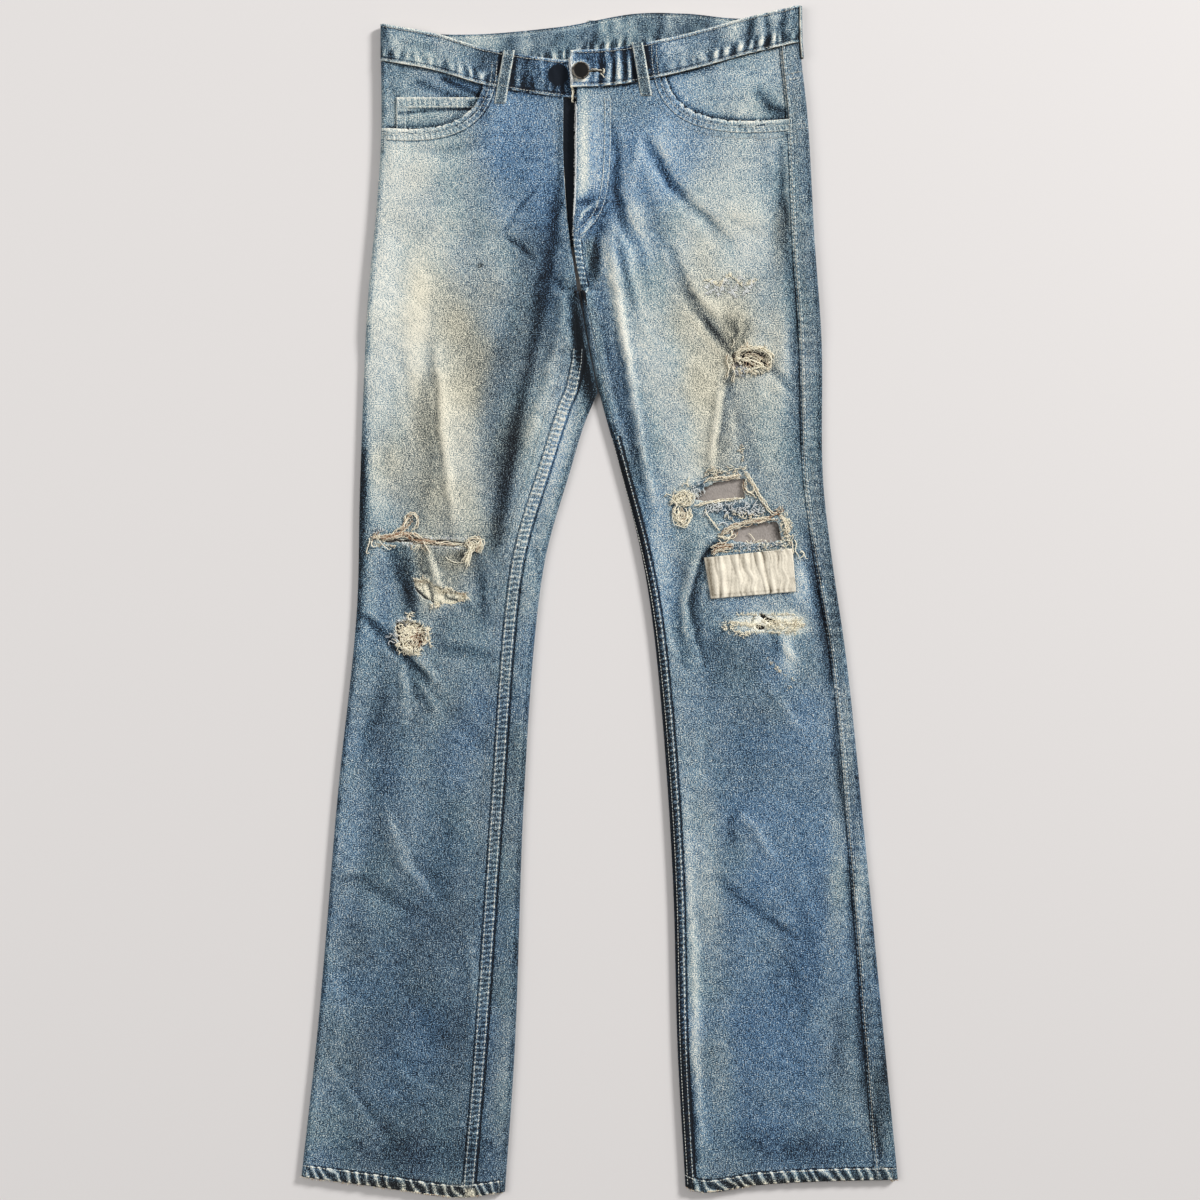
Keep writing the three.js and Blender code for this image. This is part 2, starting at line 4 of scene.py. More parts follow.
import bpy
import numpy as np
from mathutils.bvhtree import BVHTree
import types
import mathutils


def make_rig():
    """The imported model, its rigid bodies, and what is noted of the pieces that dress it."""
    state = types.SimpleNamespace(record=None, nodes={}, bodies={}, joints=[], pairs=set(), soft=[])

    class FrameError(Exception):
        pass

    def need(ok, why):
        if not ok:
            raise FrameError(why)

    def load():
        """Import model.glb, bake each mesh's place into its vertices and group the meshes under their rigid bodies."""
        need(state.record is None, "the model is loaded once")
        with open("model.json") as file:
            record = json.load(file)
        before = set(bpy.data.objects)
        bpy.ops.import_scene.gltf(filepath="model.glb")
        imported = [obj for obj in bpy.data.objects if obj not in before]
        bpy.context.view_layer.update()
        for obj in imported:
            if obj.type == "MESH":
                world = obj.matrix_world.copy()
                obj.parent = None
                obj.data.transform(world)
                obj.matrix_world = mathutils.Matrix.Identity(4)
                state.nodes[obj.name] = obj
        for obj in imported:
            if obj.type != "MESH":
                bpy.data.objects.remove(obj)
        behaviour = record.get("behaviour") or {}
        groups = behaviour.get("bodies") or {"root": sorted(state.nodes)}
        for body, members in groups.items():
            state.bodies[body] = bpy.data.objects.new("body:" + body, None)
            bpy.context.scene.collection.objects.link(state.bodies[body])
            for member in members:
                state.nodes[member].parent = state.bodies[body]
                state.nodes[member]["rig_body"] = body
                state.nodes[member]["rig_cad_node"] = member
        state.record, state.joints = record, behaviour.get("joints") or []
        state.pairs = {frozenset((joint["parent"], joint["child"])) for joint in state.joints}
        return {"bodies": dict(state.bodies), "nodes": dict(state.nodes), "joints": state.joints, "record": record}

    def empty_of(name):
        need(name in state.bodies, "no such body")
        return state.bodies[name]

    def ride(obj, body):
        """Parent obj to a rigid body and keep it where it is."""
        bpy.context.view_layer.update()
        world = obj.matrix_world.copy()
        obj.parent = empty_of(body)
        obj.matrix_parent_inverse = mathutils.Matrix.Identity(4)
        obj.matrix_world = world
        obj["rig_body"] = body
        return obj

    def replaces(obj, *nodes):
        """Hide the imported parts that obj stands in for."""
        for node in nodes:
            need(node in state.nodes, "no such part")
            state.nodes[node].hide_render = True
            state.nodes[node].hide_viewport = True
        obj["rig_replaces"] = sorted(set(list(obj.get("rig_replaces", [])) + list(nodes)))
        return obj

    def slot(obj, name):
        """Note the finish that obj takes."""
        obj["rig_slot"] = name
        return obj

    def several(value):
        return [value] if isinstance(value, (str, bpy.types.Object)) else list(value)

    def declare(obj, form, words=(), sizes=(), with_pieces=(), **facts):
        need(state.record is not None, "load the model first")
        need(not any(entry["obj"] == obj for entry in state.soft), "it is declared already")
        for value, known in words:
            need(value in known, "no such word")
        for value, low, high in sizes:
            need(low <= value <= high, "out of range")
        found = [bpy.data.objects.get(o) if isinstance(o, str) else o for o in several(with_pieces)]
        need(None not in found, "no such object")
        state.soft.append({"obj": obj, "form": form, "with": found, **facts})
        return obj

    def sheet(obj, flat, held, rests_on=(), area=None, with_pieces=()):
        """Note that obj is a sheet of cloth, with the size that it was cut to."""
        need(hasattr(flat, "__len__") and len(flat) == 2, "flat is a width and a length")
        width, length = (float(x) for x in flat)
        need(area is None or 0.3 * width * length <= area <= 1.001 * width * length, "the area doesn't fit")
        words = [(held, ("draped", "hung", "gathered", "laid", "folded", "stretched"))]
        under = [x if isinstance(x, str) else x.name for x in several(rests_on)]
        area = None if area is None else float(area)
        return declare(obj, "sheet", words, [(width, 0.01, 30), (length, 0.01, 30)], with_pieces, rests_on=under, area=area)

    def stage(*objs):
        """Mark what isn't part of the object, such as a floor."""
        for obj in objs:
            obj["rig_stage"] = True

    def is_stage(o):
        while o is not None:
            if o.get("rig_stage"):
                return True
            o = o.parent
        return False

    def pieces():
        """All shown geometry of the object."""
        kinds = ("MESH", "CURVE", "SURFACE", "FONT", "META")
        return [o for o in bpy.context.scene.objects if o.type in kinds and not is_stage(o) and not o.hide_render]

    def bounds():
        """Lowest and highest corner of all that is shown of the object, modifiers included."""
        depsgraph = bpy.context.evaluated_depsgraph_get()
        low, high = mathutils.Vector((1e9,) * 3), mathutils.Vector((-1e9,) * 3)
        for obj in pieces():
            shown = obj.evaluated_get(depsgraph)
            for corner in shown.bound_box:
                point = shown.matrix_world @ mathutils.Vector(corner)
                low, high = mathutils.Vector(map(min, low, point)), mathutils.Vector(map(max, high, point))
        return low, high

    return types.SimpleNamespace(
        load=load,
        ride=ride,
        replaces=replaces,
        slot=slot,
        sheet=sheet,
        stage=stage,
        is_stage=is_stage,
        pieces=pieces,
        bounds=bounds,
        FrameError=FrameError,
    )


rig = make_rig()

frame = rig.load()
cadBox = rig.bounds()
print("frame loaded")

# Ripped jeans, laid flat on their back. Lengths are millimetres here and metres in the meshes.
# "Right" and "left" are the wearer's, so the right leg is at -X. The fly faces up.
mm = 0.001
draw = np.random.default_rng(11)


def ease(low, high, t):
    s = np.clip((np.asarray(t, float) - low) / (high - low), 0, 1)
    return s * s * (3 - 2 * s)


def lerp(a, b, t):
    return a + (b - a) * t


def hump(t):
    return np.exp(-t * t)


def through(points):  # a smooth curve through points [t, value]
    t, v = np.array(sorted(points), float).T
    chords = np.diff(v) / np.diff(t)
    slopes = np.concatenate([chords[:1], (chords[:-1] + chords[1:]) / 2, chords[-1:]])

    def value(at):
        at = np.asarray(at, float)
        i = np.clip(np.searchsorted(t, at, side="right") - 1, 0, len(t) - 2)
        h = t[i + 1] - t[i]
        u = np.clip((at - t[i]) / h, 0, 1)
        inside = (
            (1 + 2 * u) * (1 - u) ** 2 * v[i] + u * (1 - u) ** 2 * h * slopes[i]
            + u * u * (3 - 2 * u) * v[i + 1] + u * u * (u - 1) * h * slopes[i + 1]
        )
        before = np.minimum(at - t[0], 0) * slopes[0]
        return inside + before + np.maximum(at - t[-1], 0) * slopes[-1]

    return value


def lattice(x, y, size, seed):  # smooth noise from -1 to 1
    x, y = np.broadcast_arrays(np.asarray(x, float) / size, np.asarray(y, float) / size)
    ix, iy = np.floor(x).astype(np.int64), np.floor(y).astype(np.int64)
    fx, fy = x - ix, y - iy
    fx, fy = fx * fx * (3 - 2 * fx), fy * fy * (3 - 2 * fy)

    def corner(i, j):
        n = (i * 374761393 + j * 668265263 + seed * 98245165) & 0xFFFFFFFF
        n = ((n ^ (n >> 13)) * 1274126177) & 0xFFFFFFFF
        return ((n ^ (n >> 16)) & 0xFFFF) / 32767.5 - 1

    low = lerp(corner(ix, iy), corner(ix + 1, iy), fx)
    high = lerp(corner(ix, iy + 1), corner(ix + 1, iy + 1), fx)
    return lerp(low, high, fy)


def nearLine(line, x, y):
    # Distance to a line of points, its side (+1 to the left of its direction), the length along
    # it, and the nearest point.
    line = np.asarray(line, float)
    best = np.full(np.shape(x), 1e9)
    side, along, px, py = (np.zeros(np.shape(x)) for _ in range(4))
    start = 0.0
    for (ax, ay), (bx, by) in zip(line[:-1], line[1:]):
        dx, dy = bx - ax, by - ay
        long = math.hypot(dx, dy)
        t = np.clip(((x - ax) * dx + (y - ay) * dy) / long**2, 0, 1)
        qx, qy = ax + t * dx, ay + t * dy
        gap = np.hypot(x - qx, y - qy)
        near = gap < best
        best = np.where(near, gap, best)
        side = np.where(near, np.sign(dx * (y - ay) - dy * (x - ax)), side)
        along = np.where(near, start + t * long, along)
        px, py = np.where(near, qx, px), np.where(near, qy, py)
        start += long
    return best, side, along, px, py, start


def insideOf(outline, x, y):
    outline = np.asarray(outline, float)
    inside = np.zeros(np.shape(x), bool)
    for (ax, ay), (bx, by) in zip(outline, np.roll(outline, -1, 0)):
        crosses = (ay > y) != (by > y)
        inside ^= crosses & (x < ax + (y - ay) * (bx - ax) / ((by - ay) or 1e-9))
    return inside


def bezier(a, b, c, d, n=40):
    t = np.linspace(0, 1, n + 1)[:, None]
    a, b, c, d = (np.array(p, float) for p in (a, b, c, d))
    return (1 - t) ** 3 * a + 3 * t * (1 - t) ** 2 * b + 3 * t * t * (1 - t) * c + t**3 * d


# How the garment lies, in millimetres.
lie = {
    "wall": 1.15,  # one layer of cloth
    "legFold": 6.6,  # height of a leg's folded edge
    "hipFold": 7.6,
    "seatLift": 1.7,  # the seat lies on the back pockets
    "flyLift": 2.4,  # the fly edge over the right front
    "coinLift": 1.9,  # the right front over the coin pocket
    "overlapLift": 3.4,  # the waistband's outer end over its under end
    "endDrop": 0.6, "bandHeight": 36, "bandSection": 542.0, "fork": 302, "gapTop": 204, "hipTop": 500,
    "hemLine": -565,
    "share": 0.05,  # each piece's share of the gap at a seam
}
fork, gapTop = lie["fork"], lie["gapTop"]

valley = through([[fork, -18.3], [292, -16.7], [250, -9.5], [gapTop, 0]])


def besideValley(side, curve):
    return lambda y: np.where(np.asarray(y) > gapTop, valley(y) + side * 0.5, curve(y))


# The outline from above: [height up the garment, x].
legs = {
    "right": {
        "out": -1,
        "outer": through([[561, -212], [458, -211], [390, -215], [293, -224], [109, -232],
            [-8, -235], [-182, -253], [-415, -273], [-560, -289]]),
        "inner": besideValley(-1, through([[gapTop, -0.5], [172, -14], [129, -27], [50, -50],
            [-8, -59], [-182, -72], [-437, -81.5], [-575, -91]])),
        "inseam": through([[fork, 2], [280, 7], [245, 12], [225, 18], [204, 27.5],
            [172, 26.5], [100, 27.5], [-182, 27], [-437, 35], [-575, 37]]),
        "sideSeam": through([[540, 16], [100, 18], [-560, 20]]),
        "centreFront": through([[490, -34], [430, -34], [370, -30], [340, -26], [fork, -20.3]]),
        "waistSeam": through([[-212, 525], [-157, 515], [-113, 502], [-38, 490], [-5, 489]]),
        "hem": through([[-289, -558], [-213, -568], [-135, -578], [-90, -573]]),
    },
    "left": {
        "out": 1,
        "outer": through([[580, 195], [540, 196], [473, 203], [352, 210], [251, 217],
            [118, 218.5], [50, 226], [-55, 241], [-240, 260], [-437, 279], [-560, 291]]),
        "inner": besideValley(1, through([[gapTop, 0.5], [180, 7], [132, 20.5], [50, 41],
            [-8, 51], [-107, 61.5], [-270, 72.3], [-437, 77], [-560, 84]])),
        "inseam": through([[fork, 2], [280, 4.6], [118, 4.6], [41, 5.8], [0, 6.8], [-560, 6.8]]),
        "sideSeam": through([[540, 18], [250, 20], [50, 15.5], [-100, 13], [-300, 16], [-560, 20]]),
        "centreFront": through([[498, -21], [427, -22], [354, -24.6], [330, -22], [fork, -16.3]]),
        "waistSeam": through([[-27, 498], [15, 500.5], [60, 509], [101, 519], [144, 531], [196, 543]]),
        "hem": through([[84, -568], [97, -573], [156, -566], [220, -562.5], [291, -561]]),
    },
}
right, left = legs["right"], legs["left"]
backWaistSeam = through([[-212, 525], [-154, 516], [-38, 523], [37, 536], [84, 536],
    [144, 531.5], [196, 543]])
yokeSeam = through([[-212, 497], [-110, 485], [-5, 472], [100, 490], [196, 514]])
seatSeam = through([[536, -5], [420, -8], [340, -14], [fork, -18.3]])


def centreBack(y):
    return np.where(np.asarray(y) > fork, seatSeam(y), valley(y))


def seatLift(y):
    return lie["seatLift"] * ease(235, 270, y)


def foldHeight(y):
    return lerp(lie["legFold"], lie["hipFold"], ease(180, 300, y))


def foldRadius(y):
    return foldHeight(y) / 2


def inseamX(leg):
    return lambda y: leg["inner"](y) + leg["out"] * leg["inseam"](y)


def sideSeamX(leg):
    return lambda y: leg["outer"](y) - leg["out"] * leg["sideSeam"](y)


def outerTangent(leg):
    return lambda y: leg["outer"](y) - leg["out"] * foldRadius(y)


def innerTangent(leg):
    return lambda y: leg["inner"](y) + leg["out"] * foldRadius(y)


def frontEnd(leg):
    return lambda y: (
        np.where(np.asarray(y) > fork, leg["centreFront"](y), inseamX(leg)(y))
        + leg["out"] * lie["share"]
    )


# Folds of the top layer: a line, its height (negative for a trough), its width to the left and
# to the right of the line's direction, and how much paler or darker it is painted: partly worn,
# partly painted shade in the troughs and painted highlight on the ridges.
folds = [
    # crotch and right thigh
    ([[-36, 402], [-44, 350], [-54, 300], [-62, 250], [-73, 200], [-82, 155], [-93, 100],
        [-98, 58]], -3.2, 7, 9, -0.42),
    ([[-40, 415], [-42, 380], [-46, 345]], -1.5, 5, 14, -0.2),
    ([[-26, 345], [-31, 300], [-38, 250], [-55, 190], [-72, 135]], 3.0, 9, 7, 0.10),
    ([[-44, 316], [-30, 300]], -1.2, 5, 5, -0.2),
    ([[-24, 304], [-22, 270], [-14, 240], [-5, 212], [2, 188]], -2.5, 9, 9, -0.6),
    ([[-90, 357], [-76, 345], [-62, 333]], -1.2, 3, 3, -0.22),
    ([[-58, 405], [-76, 382], [-90, 360]], -0.9, 3, 4, -0.12),
    ([[-156, 245], [-152, 180], [-145, 110], [-139, 62]], 3.0, 8, 5, 0.12),
    ([[-168, 250], [-166, 190], [-160, 140], [-172, 90], [-186, 66]], -2.4, 7, 10, -0.16),
    ([[-192, 240], [-184, 200], [-170, 165]], -1.4, 6, 6, -0.08),
    ([[-118, 320], [-112, 220], [-112, 120]], -1.5, 14, 14, -0.06),
    ([[-205, 190], [-198, 150], [-205, 110]], 1.2, 8, 8, 0.05),
    ([[-178, 440], [-150, 436], [-110, 446]], -1.2, 6, 8, -0.1),
    # right knee
    ([[-200, 56], [-196, 38], [-188, 18], [-184, 0], [-184, -14]], -3.2, 5, 7, -0.45),
    ([[-166, 52], [-159, 32], [-153, 14]], 2.6, 4, 6, 0.22),
    ([[-119, 62], [-115, 30], [-111, 0], [-107, -22]], -2.6, 5, 8, -0.34),
    ([[-142, 12], [-128, -4], [-114, -17]], -1.8, 5, 5, -0.25),
    ([[-234, -8], [-216, -24], [-200, -40], [-185, -55], [-167, -76]], -3.2, 4, 5, -0.48),
    ([[-184, -46], [-168, -60], [-156, -80]], 2.0, 8, 6, 0.14),
    ([[-160, -42], [-130, -46], [-98, -52]], -1.8, 6, 7, -0.18),
    ([[-190, -66], [-188, -92], [-186, -120]], 1.6, 6, 6, 0.12),
    ([[-203, -70], [-212, -105], [-226, -150]], -2.2, 8, 8, -0.16),
    ([[-182, -68], [-174, -90], [-165, -106]], -1.8, 4, 5, -0.2),
    ([[-152, -98], [-130, -118], [-108, -142]], -1.6, 8, 8, -0.1),
    ([[-62, 52], [-57, 28]], -1.4, 4, 4, -0.2),
    # right shin
    ([[-209, -196], [-192, -240], [-168, -280], [-150, -302]], 2.4, 7, 9, 0.12),
    ([[-188, -246], [-166, -262], [-146, -272]], -2.0, 6, 6, -0.12),
    ([[-258, -270], [-226, -270], [-200, -288], [-176, -305]], -1.8, 6, 7, -0.16),
    ([[-252, -370], [-244, -410], [-256, -445]], 1.2, 14, 10, 0.08),
    ([[-252, -458], [-222, -492], [-194, -530]], -2.2, 8, 5, -0.16),
    ([[-268, -446], [-240, -474], [-214, -504]], 1.6, 6, 6, 0.1),
    ([[-180, -380], [-150, -420], [-130, -440]], -1.4, 18, 16, -0.1),
    ([[-210, -448], [-184, -462], [-160, -478]], 1.2, 9, 9, 0.07),
    ([[-124, -328], [-118, -390], [-126, -440]], 1.2, 7, 7, 0.1),
    # left hip and thigh
    ([[15, 460], [19, 430], [17, 405], [24, 372], [40, 345], [50, 296]], -3.0, 5, 6, -0.42),
    ([[1, 366], [-1, 345], [-6, 320], [-12, 303]], -3.0, 5, 5, -0.34),
    ([[13, 368], [15, 330], [22, 275], [32, 215], [44, 145], [52, 100]], 3.6, 6, 6, 0.16),
    ([[0, 300], [14, 240], [24, 190], [40, 120], [50, 70]], -2.2, 6, 9, -0.2),
    ([[48, 450], [60, 424], [70, 408], [82, 396]], -3.2, 4, 7, -0.5),
    ([[74, 404], [92, 384], [104, 374], [128, 346]], -2.2, 4, 8, -0.22),
    ([[40, 420], [46, 390], [60, 350]], -1.2, 6, 8, -0.12),
    ([[44, 452], [38, 432], [36, 405]], 1.6, 6, 6, 0.12),
    ([[118, 470], [140, 462], [160, 440]], -0.8, 5, 8, -0.06),
    ([[72, 340], [80, 310], [98, 281], [118, 260], [130, 246]], -2.8, 5, 5, -0.32),
    ([[84, 322], [100, 296], [122, 276]], 1.6, 8, 6, 0.08),
    ([[124, 276], [132, 262], [131, 250]], -1.6, 3, 3, -0.3),
    ([[146, 274], [143, 260], [136, 250]], -1.4, 3, 3, -0.25),
    ([[124, 222], [116, 180], [111, 140], [113, 122]], 2.8, 3, 5, 0.1),
    ([[130, 216], [137, 180], [143, 150], [150, 130]], -2.4, 7, 5, -0.18),
    ([[168, 228], [180, 216], [186, 206]], -1.8, 4, 4, -0.3),
    ([[176, 440], [178, 400], [184, 350], [190, 300], [193, 250], [195, 200], [197, 150],
        [199, 110]], -2.2, 3, 7, -0.34),
    ([[160, 430], [170, 390], [176, 365]], -1.4, 12, 12, -0.12),
    # left knee
    ([[199, 80], [208, 50], [213, 20], [218, -10], [222, -40], [226, -85]], -3.0, 3, 7, -0.5),
    ([[112, 62], [98, 46], [89, 26], [84, 0], [86, -32]], 2.6, 4, 7, 0.18),
    ([[116, 58], [103, 42], [95, 22], [91, -2], [96, -28], [104, -60]], -2.6, 5, 3, -0.35),
    ([[78, 36], [73, 4], [78, -32], [86, -64]], -1.8, 5, 7, -0.2),
    ([[180, -30], [186, -48], [196, -62]], 1.5, 8, 8, 0.2),
    ([[170, -20], [172, -38], [178, -54]], -1.6, 4, 4, -0.25),
    ([[110, -30], [118, -60], [116, -92]], -1.6, 12, 12, -0.12),
    ([[168, -84], [186, -110], [204, -134]], 1.2, 8, 8, 0.08),
    ([[136, -126], [146, -150], [150, -176]], -1.4, 9, 9, -0.1),
    # left shin
    ([[228, -95], [233, -160], [240, -230]], -1.8, 3, 5, -0.25),
    ([[244, -240], [250, -330], [255, -400], [262, -480], [274, -535]], -2.6, 3, 6, -0.45),
    ([[84, -190], [90, -300], [95, -370], [94, -450], [102, -525]], 1.6, 6, 5, 0.14),
    ([[82, -430], [90, -500], [94, -560]], -2.0, 5, 14, -0.5),
    ([[138, -200], [129, -212], [130, -236]], -1.4, 4, 4, -0.15),
    ([[140, -206], [156, -222], [170, -250]], 1.6, 5, 5, 0.12),
    ([[114, -268], [140, -290], [168, -310], [192, -326]], -2.2, 4, 4, -0.28),
    ([[190, -256], [204, -290], [216, -330]], 1.2, 8, 8, 0.1),
    ([[184, -350], [196, -376], [202, -404]], -1.2, 5, 5, -0.1),
    ([[110, -520], [180, -530], [256, -520]], -1.2, 18, 14, -0.12),
    ([[240, -404], [232, -440], [236, -470]], -1.2, 8, 8, -0.12),
]


def foldSums(x, y):  # the folds' height and their painted shade and highlight, partly worn, at each point
    rise, shade = np.zeros(np.shape(x)), np.zeros(np.shape(x))
    for line, height, wideLeft, wideRight, worn in folds:
        lo, hi = np.min(line, 0) - 40, np.max(line, 0) + 40
        close = (x > lo[0]) & (x < hi[0]) & (y > lo[1]) & (y < hi[1])
        if not close.any():
            continue
        wobble = 1.5 * lattice(x[close], y[close], 12, 61)
        gap, side, along, _, _, long = nearLine(line, x[close] + wobble, y[close])
        width = np.where(side > 0, wideLeft, wideRight)
        taper = np.sin(np.pi * lerp(0.08, 0.92, along / long)) ** 0.8
        rise[close] += 1.35 * height * taper * hump(gap / width)
        # painted shade in the troughs and painted highlight on the ridges, partly worn
        shade[close] += worn * taper * hump(gap / (0.85 * width))
    return rise, shade


def relief(leg, x, y):  # how far the top layer stands above the height of its folded edges
    fromOuter = np.abs(x - leg["outer"](y))
    fromInner = np.abs(x - leg["inner"](y))
    fromEdge = np.where(y > fork, fromOuter, np.minimum(fromOuter, fromInner))
    deepest = foldHeight(y) - 2 * lie["wall"] - 0.5
    clearOfPocket = 1 - ease(350, 380, y)
    clearOfFly = np.maximum(1 - ease(fork - 20, fork + 30, y), ease(34, 66, np.abs(x + 20)))
    clearOfHem = ease(-545, -490, y)
    slack = foldHeight(y) - lie["legFold"]
    calm = clearOfPocket * clearOfFly * clearOfHem
    rise = -lerp(slack, foldHeight(y) - 3.6, calm) * ease(4, 30, fromEdge)
    soft = ease(3, 16, fromEdge)
    rise += foldSums(x, y)[0] * soft
    crumple = (
        1.1 * lattice(x + 0.35 * y, 0.45 * y, 34, 3) + 0.9 * lattice(x - 0.5 * y, 0.6 * y, 20, 4)
        + 0.5 * lattice(x + 0.7 * y, y, 10, 5)
    )
    rise += crumple * soft * lerp(0.35, 1, calm)
    return np.maximum(rise, 0.2 - deepest)


def topHeight(leg, x, y):  # the top layer's outer face
    return seatLift(y) + foldHeight(y) + relief(leg, x, y)


def flyLift(x, y):
    return lie["flyLift"] * (1 - ease(-16, 26, x)) * ease(fork + 2, fork + 50, y)


def coinLift(x, y):
    return lie["coinLift"] * ease(-210, -198, x) * (1 - ease(-104, -80, x)) * ease(398, 428, y)


def overlapLift(x):
    return lie["overlapLift"] * (1 - ease(0, 70, x))


rightScoop = bezier([-109, 525], [-109, 462], [-150, 451], [-232, 462])
leftScoop = bezier([62, 540], [62, 474], [92, 456], [216, 472])


def offsetLine(line, away):  # moves a line to its right
    line = np.asarray(line, float)
    step = np.gradient(line, axis=0)
    step /= np.linalg.norm(step, axis=1)[:, None]
    return line + away * np.stack([step[:, 1], -step[:, 0]], 1)


def downLine(curve, top, foot, shift=0.0, step=14):
    y = np.linspace(top, foot, int(abs(top - foot) / step) + 2)
    return np.stack([curve(y) + shift, y], 1)


def acrossLine(curve, start, end, shift=0.0, step=10):
    x = np.linspace(start, end, int(abs(end - start) / step) + 2)
    return np.stack([x, curve(x) + shift], 1)


flyCurve = bezier([9, 489], [9.4, 395], [6, 376], [-20, 357], 24)
# Every sewn seam: its middle line, half its width, how far it stands up, the side its painted
# shadow is on (+1 to the left of the line's direction, so towards +X on a line that runs down), how
# much it puckers, and where its rows of stitches are across it.
seams = {
    "inseamRight": (downLine(inseamX(right), 246, -574, 1.2), 4.9, 0.9, 1, 0.8, (-0.8, 0.8)),
    "inseamLeft": (downLine(inseamX(left), 160, -566, -2.6), 4.4, 0.7, 1, 0.9, (-0.4, 0.75)),
    "outseamLeft": (downLine(sideSeamX(left), 541, -560, 0.4), 2.2, 0.7, -1, 0.5, (0.0,)),
    "fly": (flyCurve, 3.2, 0.2, 0, 0.14, (-0.84, 0.84)),
    "flyFoot": (downLine(left["centreFront"], 352, 303, 3.6, 6), 3.4, 0.7, -1, 0.7, (-0.8, 0.8)),
    "scoopEdgeRight": (offsetLine(rightScoop, -1.2), 1.8, 0.8, 0, 0.2, ()),
    "scoopEdgeLeft": (offsetLine(leftScoop, 1.2), 1.8, 0.8, 0, 0.2, ()),
    "scoopRight": (offsetLine(rightScoop, -8.2), 2.9, 0.4, 0, 0.5, (-0.8, 0.8)),
    "scoopLeft": (offsetLine(leftScoop, 8.2), 2.9, 0.4, 0, 0.5, (-0.8, 0.8)),
    "hemRight": (acrossLine(right["hem"], -290, -88, 6.2), 6.0, 0.9, 0, 1.5, (0.8,)),
    "hemLeft": (acrossLine(left["hem"], 82, 292, 6.2), 6.0, 0.9, 0, 1.5, (0.8,)),
    "coinTop": (np.array([[-197, 484.3], [-150, 484.8], [-109, 484.3]]), 5.2, 0.5, 0, 0.4, (-0.8, 0.8)),
    "coinSide": (np.array([[-191.5, 478], [-191.5, 430]]), 4.8, 0.3, 0, 0.2, (-0.8, 0.8)),
    "yokeCorner": (acrossLine(yokeSeam, 178, 200, -2.0, 4), 3.4, 0.5, 0, 0.3, (-0.8, 0.8)),
    "yoke": (acrossLine(yokeSeam, -214, 198, -1.5), 4.6, 0.8, 0, 0.5, (-0.8, 0.8)),
    "seat": (downLine(seatSeam, 480, 305, 2.0), 4.6, 0.8, 0, 0.5, (-0.8, 0.8)),
}


def seamFields(names, x, y):
    # For each point, where it lies across its nearest seam (+-1 at the seam's edges) and along
    # it, and how far the seam lifts it.
    across = np.full(np.shape(x), 3.0)
    along, rise, pucker = (np.zeros(np.shape(x)) for _ in range(3))
    for number, name in enumerate(names):
        line, half, stand, shadowSide, gather, _ = seams[name]
        gap, side, s, _, _, long = nearLine(line, x, y)
        v = gap * side / half * (shadowSide or 1)
        past = (s < 0.01) | (s > long - 0.01)
        v = np.where(past & (gap > 1.2 * half), 3.0, np.clip(v, -3, 3))
        if name.startswith("hem"):  # its roping is wider and slants
            v = np.where(v > 1.12, 3.0, v)
            s = 0.5 * s + 1.1 * v + 2.4 * lattice(s, number, 13, 8)
        near = np.abs(v) < np.abs(across)
        across = np.where(near, v, across)
        along = np.where(near, s, along)
        pucker = np.where(near, gather, pucker)
        wave = np.cos(2 * np.pi * s / 8.7 + 1.6 * lattice(s, number, 37, 9) + 0.8 * v)
        inside = 1 - ease(0.85, 1.25, np.abs(v))
        rise = np.maximum(rise, inside * stand * (1 + 0.4 * gather * wave))
    return across, along, rise, pucker
